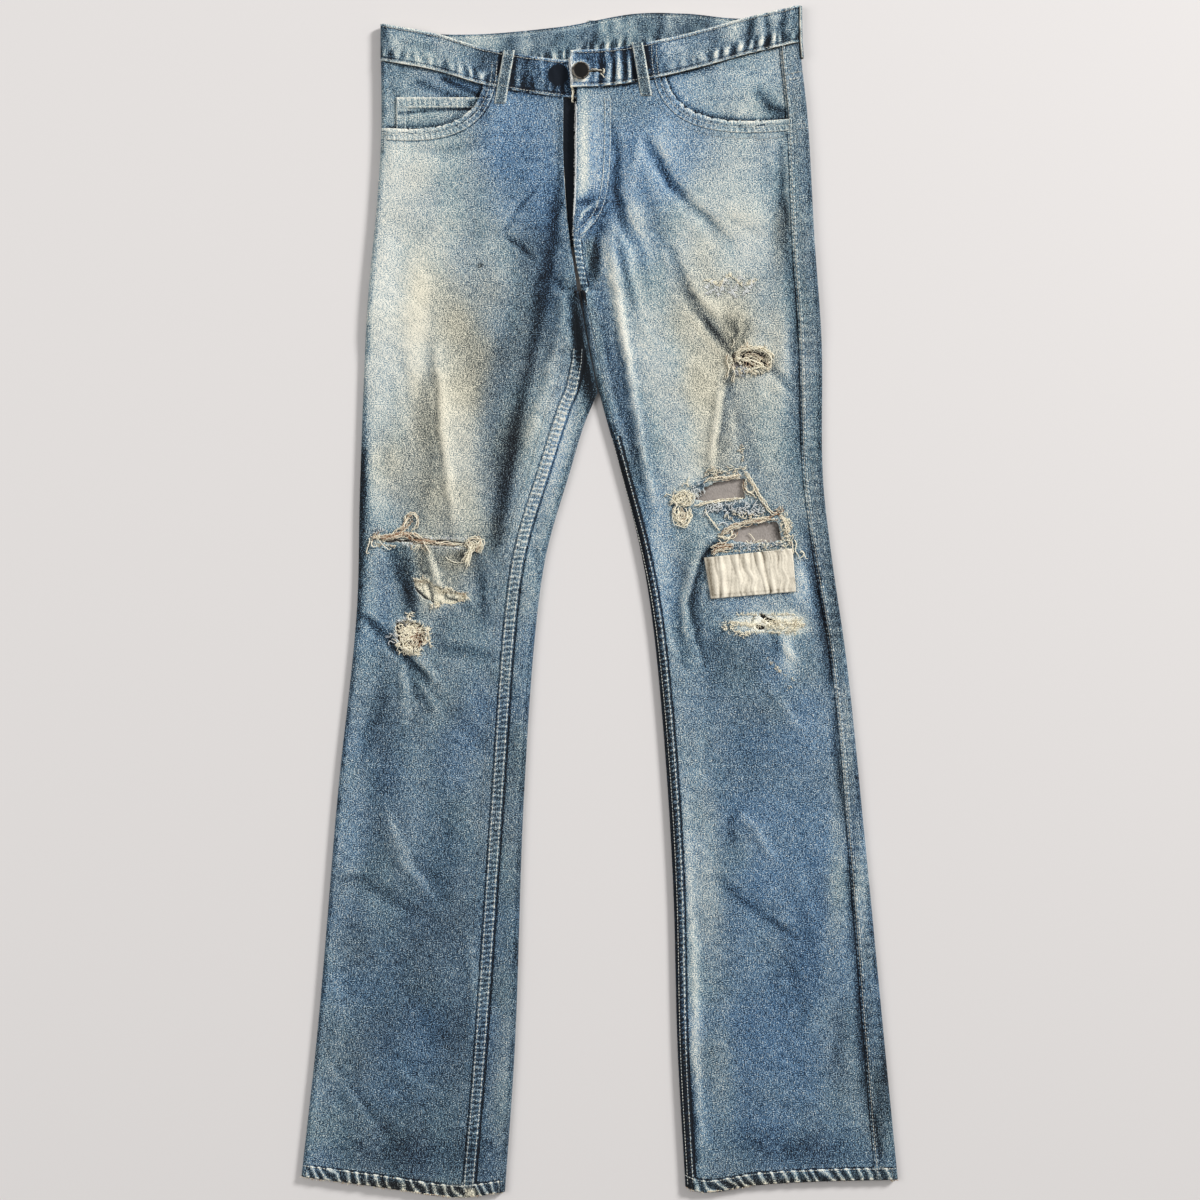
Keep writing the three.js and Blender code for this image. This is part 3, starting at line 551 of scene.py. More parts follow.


# Soft strokes laid one over another: most are fading and dirt rubbed into the cloth, and some of
# the dark ones are painted shade, in creases, along folded edges, in the rips, in the pocket
# openings, beside the fly and between the legs: middle x and y, half length and half width, turn
# in degrees, what it turns the cloth to (0 is raw indigo and 1 is bare weft), its warmth (-1 blue,
# 1 yellowed), and its strength.
strokes = [
    # right leg, from the hip down
    (-120, 400, 120, 130, 0, 0.46, -0.6, 1.0), (-150, 200, 190, 96, 84, 0.66, 0.7, 1.0),
    (-205, 330, 170, 34, 84, 0.92, 0.2, 0.9), (-186, 420, 60, 30, 20, 0.84, 0.1, 0.8),
    (-72, 420, 100, 34, 96, 0.36, -1.3, 0.9), (-56, 320, 90, 20, 100, 0.20, -0.6, 0.9),
    (-160, 345, 60, 26, 70, 0.84, 0.2, 0.6), (-120, 330, 80, 30, 60, 0.62, 0.1, 0.6),
    (-178, 262, 80, 20, 88, 1.0, 0.4, 0.9), (-210, 250, 110, 14, 88, 0.90, 0.2, 0.7),
    (-148, 240, 90, 16, 95, 0.70, 0.6, 0.7), (-136, 150, 110, 18, 98, 0.92, 0.6, 0.8),
    (-170, 160, 80, 12, 92, 0.56, 0.6, 0.7), (-190, 190, 60, 10, 92, 0.80, 0.4, 0.6),
    (-212, 130, 80, 9, 90, 0.90, 0.3, 0.8), (-229, 110, 60, 5, 89, 0.10, 0.0, 0.9),
    (-86, 240, 90, 20, 78, 0.30, 0.0, 0.8), (-90, 120, 80, 9, 80, 0.12, 0.4, 0.9),
    (-52, 120, 110, 17, 76, 0.64, -0.5, 0.9), (-60, 0, 110, 14, 84, 0.52, -0.4, 0.8),
    (-150, 30, 44, 30, 90, 0.50, 0.5, 0.8), (-176, 36, 20, 10, 100, 0.56, 0.6, 0.8),
    (-215, 10, 70, 22, 88, 0.44, -0.5, 0.9), (-167, 34, 24, 11, 100, 0.36, 1.0, 0.9),
    (-143, 38, 20, 12, 0, 0.42, 1.0, 0.7), (-168, 2, 20, 12, 98, 0.74, 0.6, 0.9),
    (-150, 22, 16, 9, -30, 0.62, 0.7, 0.8), (-181, 6, 19, 5, 100, 0.0, 0.3, 1.0),
    (-185, 34, 24, 6, 104, 0.04, 0.4, 1.0), (-160, 34, 20, 4, 112, 0.80, 0.7, 0.8),
    (-167, 40, 20, 6, 100, 0.40, 0.8, 0.8), (-133, 46, 6, 5, 90, 0.05, 1.0, 0.9),
    (-160, -330, 300, 120, 92, 0.22, -0.5, 1.0), (-150, -76, 50, 22, 60, 0.46, -0.1, 0.8),
    (-165, -110, 60, 18, 75, 0.46, -0.2, 0.5), (-235, -120, 120, 14, 86, 0.46, -0.4, 0.7),
    (-246, -250, 150, 18, 85, 0.42, -0.5, 0.7), (-262, -440, 60, 12, 85, 0.34, -0.3, 0.6),
    (-120, -200, 110, 20, 84, 0.38, -0.3, 0.6), (-86, -250, 160, 14, 86, 0.36, -0.2, 0.7),
    (-92, -470, 90, 12, 88, 0.44, 0.1, 0.7), (-180, -220, 80, 26, 70, 0.42, -0.3, 0.5),
    (-130, -400, 160, 26, 86, 0.22, -0.3, 0.7), (-170, -535, 60, 24, 0, 0.12, -0.3, 0.9),
    (-240, -500, 50, 26, 90, 0.30, -0.3, 0.7),
    # left leg
    (70, 400, 120, 90, 90, 0.50, -0.8, 1.0), (150, 400, 130, 40, 90, 0.70, -0.1, 1.0),
    (110, 370, 60, 34, 70, 0.80, 0.1, 0.8), (180, 360, 90, 12, 86, 0.36, 0.2, 0.8),
    (202, 330, 200, 6, 87, 0.34, -0.1, 0.7), (214, 170, 100, 8, 90, 0.34, 0.1, 0.8),
    (62, 440, 50, 22, 70, 0.62, -0.8, 0.9), (30, 430, 44, 14, 90, 0.40, -1.0, 0.8),
    (40, 350, 50, 16, 90, 0.66, -0.5, 0.8), (110, 240, 120, 60, 92, 0.76, 0.7, 1.0),
    (60, 220, 130, 22, 104, 0.76, 0.0, 0.8), (17, 294, 80, 6, 103, 0.84, 0.0, 0.9),
    (40, 272, 50, 9, 101, 0.86, -0.3, 0.6), (27, 318, 44, 4.5, 104, 0.18, -0.3, 0.8),
    (14, 230, 120, 13, 106, 0.36, -0.5, 0.8), (118, 262, 40, 16, 20, 0.66, 0.5, 0.7),
    (128, 308, 32, 10, 5, 0.56, 0.5, 0.9), (196, 180, 150, 14, 90, 0.62, 0.0, 0.7),
    (112, 165, 60, 15, 84, 0.68, 0.7, 0.8), (125, 188, 46, 6, 83, 0.36, 0.4, 0.8),
    (114.5, 186, 54, 1.8, 83, 0.94, 0.4, 0.7), (170, 200, 50, 16, 90, 0.84, 0.2, 0.7),
    (172, 140, 50, 16, 90, 0.62, 0.4, 0.6), (188, 150, 60, 9, 90, 0.36, -0.1, 0.7),
    (84, 120, 70, 16, 100, 0.72, 0.1, 0.6), (62, 40, 90, 18, 96, 0.60, -0.6, 0.9),
    (92, 30, 50, 10, 96, 0.30, -0.2, 0.7), (228, -10, 70, 7, 94, 0.36, 0.0, 0.8),
    (205, 50, 60, 13, 92, 0.50, -0.2, 0.8), (197, 16, 22, 9, 95, 0.88, -0.4, 0.9),
    (160, -330, 290, 110, 88, 0.30, -0.7, 1.0), (120, -30, 50, 24, 70, 0.30, -0.3, 0.8),
    (100, -60, 60, 14, 84, 0.34, -0.4, 0.7), (165, -4, 44, 10, 0, 0.56, -0.3, 0.8),
    (162, -21, 34, 9, 0, 1.1, 0.35, 1.0), (150, -18, 9, 1.6, 70, 0.5, 1.1, 0.9),
    (172, -22, 8, 1.5, 105, 0.5, 1.1, 0.9), (161, -24, 10, 1.5, 20, 0.55, 1.1, 0.9),
    (188, -22, 14, 11, 0, 1.12, 0.4, 0.9), (184, -54, 26, 8, 96, 0.72, -0.4, 0.8),
    (152, -66, 30, 14, 80, 0.34, -0.3, 0.7), (136, 88, 36, 8, -8, 0.16, -0.2, 0.9),
    (106, 50, 14, 6, 62, 0.0, 0.0, 1.0), (180, 90, 20, 8, 90, 0.50, 0.1, 0.6),
    (-193, -435, 80, 20, 88, 0.16, -0.4, 0.5), (215, -270, 60, 14, 86, 0.24, -0.9, 0.5),
    (90, -120, 90, 16, 92, 0.50, -0.4, 0.8), (104, -270, 90, 20, 92, 0.58, -0.2, 0.8),
    (92, -400, 150, 11, 92, 0.62, -0.3, 0.8), (118, -450, 80, 16, 92, 0.46, 0.0, 0.6),
    (160, -300, 70, 26, 88, 0.42, -0.7, 0.6), (236, -200, 180, 11, 86, 0.58, -0.1, 0.8),
    (256, -280, 90, 9, 86, 0.66, -0.1, 0.7), (276, -480, 80, 9, 86, 0.20, -0.1, 0.8),
    (215, -170, 90, 16, 84, 0.40, -0.4, 0.6), (215, -540, 56, 20, 0, 0.14, -0.6, 0.9),
    (150, -250, 60, 26, 40, 0.42, -0.4, 0.5),
    # smaller corrections
    (-96, 138, 40, 12, 82, 0.16, 0.6, 0.6), (-37, 157, 40, 9, 74, 0.86, -0.9, 0.8),
    (-105, 2, 26, 10, 90, 0.28, -0.3, 0.6), (-222, 2, 40, 8, 88, 0.56, -0.3, 0.6),
    (-64, -110, 60, 7, 86, 0.40, -0.2, 0.7), (215, 167, 70, 6, 90, 0.30, 0.2, 0.7),
    (229, 2, 50, 6, 94, 0.18, 0.1, 0.7), (134, -120, 40, 20, 80, 0.32, -0.3, 0.5),
    (176, 351, 40, 9, 88, 0.44, 0.6, 0.6), (173, 254, 40, 12, 90, 0.74, 0.7, 0.6),
    (132, 262, 20, 12, 90, 0.52, 1.0, 0.5), (40, 351, 40, 10, 100, 0.84, -0.4, 0.7),
    (-125, -114, 50, 16, 80, 0.46, -0.7, 0.6), (256, -270, 90, 5, 86, 0.62, -0.6, 0.6),
    (-241, -535, 34, 16, 20, 0.20, -0.4, 0.6), (-163, -535, 60, 16, 0, 0.02, -0.4, 0.6),
    (-57, 409, 24, 14, 90, 0.46, -1.2, 0.6), (60, 438, 18, 12, 70, 0.82, -0.9, 0.7),
    (157, 419, 40, 16, 90, 0.58, -0.1, 0.5), (-154, 351, 30, 16, 80, 0.84, 0.2, 0.5),
    (-176, 254, 54, 11, 88, 1.08, 0.6, 0.8), (-86, 250, 40, 12, 80, 0.26, 0.1, 0.5),
    (195, -114, 40, 16, 85, 0.34, -0.6, 0.4), (157, -270, 40, 16, 85, 0.3, -1.0, 0.4),
    (-200, 138, 46, 20, 90, 0.54, 0.6, 0.6), (137, 351, 40, 24, 80, 0.88, 0.1, 0.5),
    (98, 157, 50, 12, 88, 0.86, 0.5, 0.5), (60, 41, 60, 10, 98, 0.74, -0.5, 0.5),
    (88, 2, 26, 5, 96, 0.18, -0.1, 0.6), (-173, -95, 26, 12, 75, 0.28, -0.2, 0.5),
    (-86, -270, 60, 8, 88, 0.26, -0.2, 0.5), (108, -270, 50, 12, 92, 0.70, -0.2, 0.5),
    (176, -444, 50, 24, 88, 0.44, -0.9, 0.5), (204, -270, 60, 20, 85, 0.28, -0.8, 0.4),
    (277, -464, 50, 6, 86, 0.08, -0.1, 0.6), (-160, 130, 60, 16, 92, 0.66, 0.9, 0.4),
    (-134, 250, 60, 14, 94, 0.62, 0.9, 0.4),
    # shade under the loose yarns
    (86, 88, 11, 4, -20, 0.06, 0.2, 0.9), (74, 92, 3, 6, 0, 0.05, 0.2, 0.9),
    (98, 112, 12, 5, 30, 0.12, 0.1, 0.8), (113, 124, 9, 4, 10, 0.2, 0.4, 0.7),
    (122, 52, 14, 3, 0, 0.1, 0.3, 0.9), (186, 56, 8, 5, 0, 0.3, 0.2, 0.7),
    (-196, 62, 26, 4, 5, 0.3, 0.6, 0.8), (-121, 54, 8, 6, 30, 0.16, 0.6, 0.8),
    (-184, -48, 14, 4, -10, 0.1, 0.1, 0.9), (-200, -36, 4, 8, 0, 0.12, 0.0, 0.8),
    (148, 235, 20, 9, -6, -0.1, 1.2, 1.0), (148, 224, 16, 3, 0, 0.3, 0.6, 0.8),
    (124, 216, 5, 7, 0, 0.2, 0.7, 0.8), (128, -24, 6, 5, 0, 0.3, 0.2, 0.7),
    # painted shade in the pocket openings and in creases, with a few pale ridges
    (-112, 484, 5, 16, 10, 0.04, -0.8, 0.9), (-124, 500, 20, 4, -12, 0.2, -0.8, 0.8),
    (164, 478, 8, 5, 120, 0.06, -0.2, 0.8), (72, 512, 14, 3, 20, 0.2, -0.6, 0.7),
    (104, 257, 24, 4, -52, 0.92, 0.8, 0.6), (113, 262, 24, 3.2, -52, 0.12, 0.6, 0.85),
    (134, 268, 10, 2.2, -70, 0.20, 0.6, 0.7), (150, 200, 40, 6, 100, 0.60, 0.5, 0.5),
    (-79, 347, 17, 2.0, -32, 0.10, -0.4, 0.75), (-86, 366, 14, 2.2, 47, 0.26, -0.5, 0.5),
    (-115, 327, 3.2, 3, 0, 0.12, 0.5, 0.9),
    # fly and crotch, with painted shadow beside the fly and between the legs
    (-14, 425, 70, 6, 90, 0.92, -0.1, 1.0), (-3, 425, 70, 6, 90, 0.72, -0.9, 0.8),
    (6, 380, 22, 12, 70, 0.22, -1.0, 0.9), (-12, 378, 18, 9, 70, 0.24, -1.0, 0.9),
    (-30, 330, 30, 9, 90, 0.30, -0.5, 0.8), (-6, 338, 26, 7, 98, 0.22, 0.3, 0.9),
    (-17, 298, 9, 3.5, 96, -0.3, 0.0, 1.0), (-37, 440, 54, 3, 90, 0.1, -0.5, 0.7),
    (-18, 252, 58, 7, 98, -0.1, 0.1, 1.0), (-9, 208, 26, 6.5, 104, -0.1, 0.0, 1.0),
    (-2, 262, 40, 5, 100, 0.30, 0.1, 0.7), (-28, 268, 40, 3.5, 88, 0.56, -0.4, 0.8),
    (-192, 484.5, 3.5, 3, 0, 0.9, 1.6, 1.0), (-9, 372, 20, 11, 80, 0.22, -1.3, 1.0),
    (-12, 388, 9, 3.2, 8, 0.0, -1.2, 0.9), (-4, 376, 9, 3, 62, 0.0, -1.2, 0.9),
    (-16, 374, 8, 1.7, 70, 0.95, -0.4, 0.9), (-10, 381, 6, 1.6, 40, 0.85, -0.4, 0.9),
    (-9, 366, 9, 1.7, 52, 0.95, -0.4, 0.9), (-2, 386, 6, 1.5, 70, 0.80, -0.4, 0.8),
    (-13, 358, 8, 1.6, 60, 0.80, -0.4, 0.8),
    # hems
    (-190, -568, 112, 8, -4, 0.1, 0.6, 1.0), (188, -564, 112, 8, 2, 0.12, 0.6, 1.0),
    (-124, -574, 5, 6, 90, 1.0, 1.3, 0.9),
]


def wearAndShadeAt(x, y):
    fade = np.full(np.shape(x), 0.42)
    warm = np.full(np.shape(x), -0.2)
    for cx, cy, long, wide, turn, to, tint, strength in strokes:
        c, s = math.cos(math.radians(turn)), math.sin(math.radians(turn))
        u = ((x - cx) * c + (y - cy) * s) / long
        v = ((y - cy) * c - (x - cx) * s) / wide
        w = strength * np.exp(-((u * u + v * v) ** 1.3))
        fade, warm = lerp(fade, to, w), lerp(warm, tint, w)
    # The folded edges that turn from the light.
    low = 1 - ease(100, 200, y)
    dark = 0.55 * hump((x - left["inner"](y) - 3) / 4.5) * low * (x > 0)
    dark = dark + 0.4 * hump((x - right["outer"](y) - 3) / 5) * ease(-60, 20, y) * low
    dark = dark + 0.7 * hump((x - left["inner"](y) - 2) / 5) * (x > 0) * hump((y - 100) / 62)
    dark = dark + 0.26 * hump((x - left["inner"](y) - 3) / 5) * (x > 0) * (y < 90)
    # Painted light and shade of the puckers: light and dark rungs on the strip outside the left outseam.
    rung = np.cos(2 * np.pi * y / 10.5 + 2.2 * lattice(0 * x, y, 40, 24))
    strip = hump((x - sideSeamX(left)(y) - 8) / 9) * (x > 150) * (y < 460)
    dark = dark + (0.05 + 0.11 * rung * (0.6 + 0.5 * lattice(0 * x, y, 26, 25))) * strip
    # The shade under the waistband.
    waist = np.where(x < -21, right["waistSeam"](x), left["waistSeam"](x))
    dark = dark + 0.4 * hump((waist - y - 0.8) / 1.3) + 0.1 * hump((waist - y) / 7)
    fade = fade - dark
    fade = fade + 0.06 * lattice(x, 0.5 * y, 30, 21) + 0.035 * lattice(x, 0.7 * y, 9, 22)
    return fade, warm + 0.2 * lattice(x, y, 34, 23)


def foldWearAndShade(leg, x, y):  # ridges painted paler and troughs darker from the relief's bend: partly worn, partly painted highlight and shade
    step = 3.0
    here = relief(leg, x, y)
    around = (
        relief(leg, x - step, y) + relief(leg, x + step, y) + relief(leg, x, y - step)
        + relief(leg, x, y + step)
    )
    bend = here - around / 4
    return np.clip(0.3 * bend, -0.16, 0.12) + foldSums(x, y)[1]


class Reading:  # a socket that takes part in sums, each of which adds a Math node
    def __init__(self, recipe, socket):
        self.recipe, self.socket = recipe, socket

    def math(self, operation, *terms):
        sockets = dict(enumerate(terms))
        return self.recipe.add("ShaderNodeMath", {"operation": operation}, sockets)

    def __add__(self, other):
        return self.math("ADD", self, other)

    __radd__ = __add__

    def __mul__(self, other):
        return self.math("MULTIPLY", self, other)

    __rmul__ = __mul__

    def __sub__(self, other):
        return self.math("SUBTRACT", self, other)

    def __rsub__(self, other):
        return self.math("SUBTRACT", other, self)

    def __truediv__(self, other):
        return self.math("DIVIDE", self, other)

    def __neg__(self):
        return self * -1.0


class Recipe:  # one material and the nodes in it
    def __init__(self, name):
        self.material = bpy.data.materials.new(name)
        self.material.use_nodes = True
        self.tree = self.material.node_tree
        self.tree.nodes.clear()

    def add(self, kind, settings=None, sockets=None, out=0):
        node = self.tree.nodes.new(kind)
        for key, value in (settings or {}).items():
            if key == "stops":
                ramp = node.color_ramp
                while len(ramp.elements) < len(value):
                    ramp.elements.new(0.5)
                for element, stop in zip(ramp.elements, value):
                    element.position, element.color = stop
            else:
                setattr(node, key, value)
        for key, value in (sockets or {}).items():
            if isinstance(value, Reading):
                self.tree.links.new(value.socket, node.inputs[key])
            else:
                node.inputs[key].default_value = value
        return Reading(self, node.outputs[out]) if len(node.outputs) else node

    def surface(self, **sockets):
        shader = self.add("ShaderNodeBsdfPrincipled", {}, {
            key.replace("_", " "): value for key, value in sockets.items()
        })
        self.add("ShaderNodeOutputMaterial", {}, {"Surface": shader})
        return self.material

    def attribute(self, name):
        return self.add("ShaderNodeAttribute", {"attribute_name": name}, out="Fac")

    def cloth(self):  # the piece's own cloth coordinates, in metres
        return self.add("ShaderNodeUVMap", {"uv_map": "cloth"})

    def stretched(self, vector, x, y):
        return self.add("ShaderNodeMapping", {}, {"Vector": vector, "Scale": (x, y, 1)})

    def noise(self, vector, scale, detail, rough=0.5):
        return self.add("ShaderNodeTexNoise", {"noise_dimensions": "2D"}, {
            "Vector": vector, "Scale": scale, "Detail": detail, "Roughness": rough,
        })

    def smooth(self, value, low, high):
        return self.add("ShaderNodeMapRange", {"interpolation_type": "SMOOTHSTEP"}, {
            "Value": value, "From Min": low, "From Max": high,
        })

    def bell(self, value, middle, width):
        away = (value - middle) / width
        return self.add("ShaderNodeMath", {"operation": "EXPONENT"}, {0: -(away * away)})

    def mixed(self, factor, first, second, how="MIX"):
        return self.add("ShaderNodeMix", {"data_type": "RGBA", "blend_type": how}, {
            0: factor, 6: first, 7: second,
        }, out=2)

    def bump(self, height, strength, distance):
        return self.add("ShaderNodeBump", {}, {
            "Height": height, "Strength": strength, "Distance": distance,
        })


def colour(red, green, blue):  # a screen colour, 0 to 255, as the shader's own
    def part(v):
        v /= 255
        return v / 12.92 if v <= 0.04045 else ((v + 0.055) / 1.055) ** 2.4

    return (part(red), part(green), part(blue), 1)


denimLook = {
    "shades": [  # from raw indigo to bare weft
        (0.0, (15, 20, 26)), (0.2, (54, 75, 93)), (0.4, (95, 120, 139)),
        (0.6, (138, 158, 167)), (0.8, (183, 193, 190)), (1.0, (238, 235, 222)),
    ],
    "soiledShades": [  # the same, where dirt has yellowed it
        (0.0, (18, 20, 22)), (0.2, (66, 69, 70)), (0.4, (110, 114, 107)),
        (0.6, (156, 155, 139)), (0.8, (202, 198, 178)), (1.0, (244, 236, 212)),
    ],
    "blueTint": (0.75, 0.99, 1.30), "teal": (0.94, 1.03, 1.0, 1),
    "grain": 0.00084,  # size of the pepper-and-salt of the yarns, in metres
    "pitch": 5.2,  # millimetres from one seam pucker to the next
}


def denim(name, look, shift=0.0, grainDepth=1.0):
    r = Recipe(name)
    cloth = r.cloth()
    pepper = r.noise(r.stretched(cloth, 1, 0.8), 1 / look["grain"], 1.0, 0.6)
    slub = r.noise(r.stretched(cloth, 1, 0.2), 1 / 0.0012, 1.0, 0.5)
    mottle = r.noise(r.stretched(cloth, 1, 0.6), 1 / 0.011, 2.0, 0.55)
    twill = r.add("ShaderNodeTexWave", {"bands_direction": "DIAGONAL"}, {
        "Vector": cloth, "Scale": 150.0, "Distortion": 1.2, "Detail": 1.0, "Detail Scale": 2.0,
    }, out="Fac")
    grain = (pepper - 0.5) * (1.55 * grainDepth) + (slub - 0.5) * (0.5 * grainDepth)
    fade = r.attribute("fade")
    tone = fade + r.attribute("wear") + shift - 0.03 + grain * (1.6 - fade * 0.4)
    tone = tone + (mottle - 0.5) * 0.15 + (twill - 0.5) * 0.04
    height = pepper * 0.5 + slub * 0.3 + twill * 0.25
    across, along = r.attribute("across"), r.attribute("along")
    out = r.add("ShaderNodeMath", {"operation": "ABSOLUTE"}, {0: across})
    wander = r.noise(cloth, 1 / 0.02, 1.0)
    turn = along * (2 * math.pi / look["pitch"]) + across * 0.9 + wander * 7.0
    wave = r.add("ShaderNodeMath", {"operation": "COSINE"}, {0: turn})
    inside = 1 - r.smooth(out, 0.92, 1.15)
    pucker = r.attribute("pucker")
    wave = ((wave + 1) * (wave + 1) * 0.5 - 0.75) * pucker
    lines = r.bell(out, 0.84, 0.13)
    # gap paints a shadow beside each seam's raised edge, and wave paints the puckers' crests paler and their dips
    # darker: partly worn, partly painted light and shade.
    gap = r.bell(across, 1.32, 0.24) + r.bell(across, -1.24, 0.14) * 0.7
    tone = tone + inside * wave * 0.26 + lines * (wave * 0.3 + 0.26) - gap * pucker * 0.8
    height = height + inside * (wave * 1.1 + 1.2) - gap * 1.6
    clean, soiled = (r.add("ShaderNodeValToRGB", {
        "stops": [(place, colour(*c)) for place, c in look[shades]],
    }, {"Fac": tone}) for shades in ("shades", "soiledShades"))
    warm = r.attribute("warm")
    drift = r.noise(r.stretched(cloth, 1, 0.5), 1 / 0.045, 2.0, 0.6)
    tint = r.mixed(r.smooth(drift, 0.35, 0.7) * 0.8, (1, 1, 1, 1), look["teal"])
    tint = r.mixed(r.smooth(warm, -1, 0), (*look["blueTint"], 1), tint)
    tint = r.mixed(r.smooth(tone, 0.6, 0.95), tint, (1, 1, 1, 1))
    base = r.mixed(1.0, clean, tint, "MULTIPLY")
    base = r.mixed(r.smooth(warm, 0, 0.9), base, soiled)
    return r.surface(
        Base_Color=base, Roughness=0.94 - pepper * 0.12, Sheen_Weight=0.06,
        Specular_IOR_Level=0.2, Normal=r.bump(height, 0.55, 0.0006),
    )


def plainWeave(name, light, dark, thread, shaded=0.0, faded=False):
    # Undyed or backing cloth: fine yarns, a few darker, and soft stains. Where shaded is given, it
    # darkens the cloth by the painted shade the mesh carries, under the rips and in the crotch.
    r = Recipe(name)
    cloth = r.cloth()
    fine = r.noise(r.stretched(cloth, 1, 0.5), 1 / thread, 1.0, 0.6)
    stainAndShadow = r.noise(cloth, 1 / 0.014, 2.0, 0.6)
    amount = fine * 0.5 + stainAndShadow * 0.4 - 0.1 - r.attribute("wear")
    base = r.mixed(r.smooth(amount + r.attribute("pucker") * shaded, 0.1, 1.4), colour(*light),
        colour(*dark))
    if faded:  # a cut edge is as dark as the cloth beside it
        base = r.mixed(r.smooth(r.attribute("fade"), 0.05, 0.4), colour(34, 40, 48), base)
    return r.surface(
        Base_Color=base, Roughness=0.95, Specular_IOR_Level=0.15, Normal=r.bump(fine, 0.4, 0.0005),
    )


def sewingThread(name, light, dark):
    r = Recipe(name)
    place = r.add("ShaderNodeTexCoord", out="Object")
    ply = r.add("ShaderNodeTexNoise", {}, {"Vector": place, "Scale": 700.0, "Detail": 1.0})
    base = r.mixed(r.smooth(ply + r.attribute("tone") - 0.5, 0.1, 0.8), colour(*dark), colour(*light))
    return r.surface(Base_Color=base, Roughness=0.9, Specular_IOR_Level=0.2,
        Normal=r.bump(ply, 0.4, 0.0002))


materials = {
    "denim": denim("faded denim", denimLook), "facing": denim("pocket facing denim", denimLook),
    # The fly shield is painted nearly black: partly unfaded indigo, partly painted shadow under the fly's edge.
    "shield": denim("dark fly denim", denimLook, shift=-0.5, grainDepth=0.3),
    "legInside": plainWeave("inside of the leg", (168, 160, 154), (27, 26, 28), 0.0013, shaded=1.3),
    "bandInside": denim("inside of the band", denimLook, grainDepth=0.8),
    "rawEdge": plainWeave("frayed edge", (246, 240, 224), (150, 156, 160), 0.0011, faded=True),
    "patch": plainWeave("patch twill", (240, 231, 212), (92, 82, 64), 0.0011),
    "seamThread": sewingThread("seam thread", (240, 238, 226), (150, 164, 172)),
    "looseYarn": sewingThread("loose weft yarn", (255, 248, 226), (158, 114, 82)),
    "blueYarn": sewingThread("loose warp yarn", (236, 238, 236), (88, 104, 126)),
}
print("materials made")


def meshFrom(name, vertices, faces, layers, materialNames):
    mesh = bpy.data.meshes.new(name)
    mesh.from_pydata((vertices * mm).tolist(), [], faces)
    for key, values in layers.items():
        layer = mesh.attributes.new(key, "FLOAT", "POINT")
        layer.data.foreach_set("value", values.astype(np.float32))
    for key in materialNames:
        mesh.materials.append(materials[key])
    mesh.polygons.foreach_set("use_smooth", np.ones(len(faces), bool))
    mesh.update()
    piece = bpy.data.objects.new(name, mesh)
    bpy.context.scene.collection.objects.link(piece)
    return piece


def thicken(piece, wall):
    modifier = piece.modifiers.new("wall", "SOLIDIFY")
    modifier.thickness, modifier.offset = wall * mm, -1
    modifier.material_offset, modifier.material_offset_rim = 1, 2
    bpy.ops.object.select_all(action="DESELECT")
    piece.select_set(True)
    bpy.context.view_layer.objects.active = piece
    bpy.ops.object.modifier_apply(modifier=modifier.name)


def smoothStep(points):  # lengths along each row, for the cloth's own coordinates
    step = np.linalg.norm(np.diff(points, axis=1), axis=2)
    return np.concatenate([np.zeros((len(points), 1)), np.cumsum(step, axis=1)], axis=1)


def clothPiece(name, points, fields, use, cut, keep=None, flip=False):
    # points are a grid [row][column]; keep says which of its faces are cloth.
    rows, columns = points.shape[:2]
    index = np.arange(rows * columns).reshape(rows, columns)
    quads = np.stack([index[:-1, :-1], index[:-1, 1:], index[1:, 1:], index[1:, :-1]], -1)
    if flip:
        quads = quads[..., ::-1]
    keep = np.ones((rows - 1, columns - 1), bool) if keep is None else keep
    used, faces = np.unique(quads[keep], return_inverse=True)
    length = smoothStep(points)
    middle = length[:, columns // 2][:, None]
    uv = np.stack([length - middle, points[..., 1]], -1).reshape(-1, 2)[used]
    layers = {key: np.broadcast_to(value, (rows, columns)).ravel()[used]
        for key, value in fields.items()}
    piece = meshFrom(name, points.reshape(-1, 3)[used], faces.reshape(-1, 4).tolist(), layers,
        use["materials"])
    layer = piece.data.uv_layers.new(name="cloth")
    layer.data.foreach_set("uv", (uv[faces.ravel()] * mm).astype(np.float32).ravel())
    thicken(piece, use.get("wall", lie["wall"]))
    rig.ride(piece, "root")
    if cut["nodes"]:
        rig.replaces(piece, *cut["nodes"])
    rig.slot(piece, cut["slot"])
    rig.sheet(piece, flat=cut["flat"], held="laid", rests_on=cut["restsOn"], area=cut.get("area"))


def stations(*parts):  # rows or columns as [start, end, spacing], joined
    found = [np.arange(a, b, step if b > a else -step) for a, b, step in parts]
    return np.concatenate([*found, [parts[-1][1]]])


def fractions(fineStart, fineEnd, step=2.4, fine=1.5, reach=14, width=190):
    # Column places from 0 to 1, closer together beside a sewn edge.
    marks = [0.0]
    while marks[-1] < width:
        at = marks[-1]
        close = (fineStart and at < reach) or (fineEnd and width - at < reach)
        marks.append(at + (fine if close else step))
    return np.array(marks) / marks[-1]


def settle(leg, nominal, xOf, topEdge):
    # Near the waist and the hem the rows follow the real edges.
    y = nominal + 0 * xOf(nominal)
    for _ in range(4):
        x = xOf(y)
        y = (
            nominal + (topEdge(x) - lie["share"] - lie["hipTop"]) * ease(370, 500, nominal)
            + (leg["hem"](x) - lie["hemLine"]) * (1 - ease(-565, -445, nominal))
        )
    return xOf(y), y


def topBlock(leg, nominal, start, end, share, topEdge):
    x, y = settle(leg, nominal[:, None], lambda y: lerp(start(y), end(y), share), topEdge)
    return {"x": x, "y": y, "kind": 1}


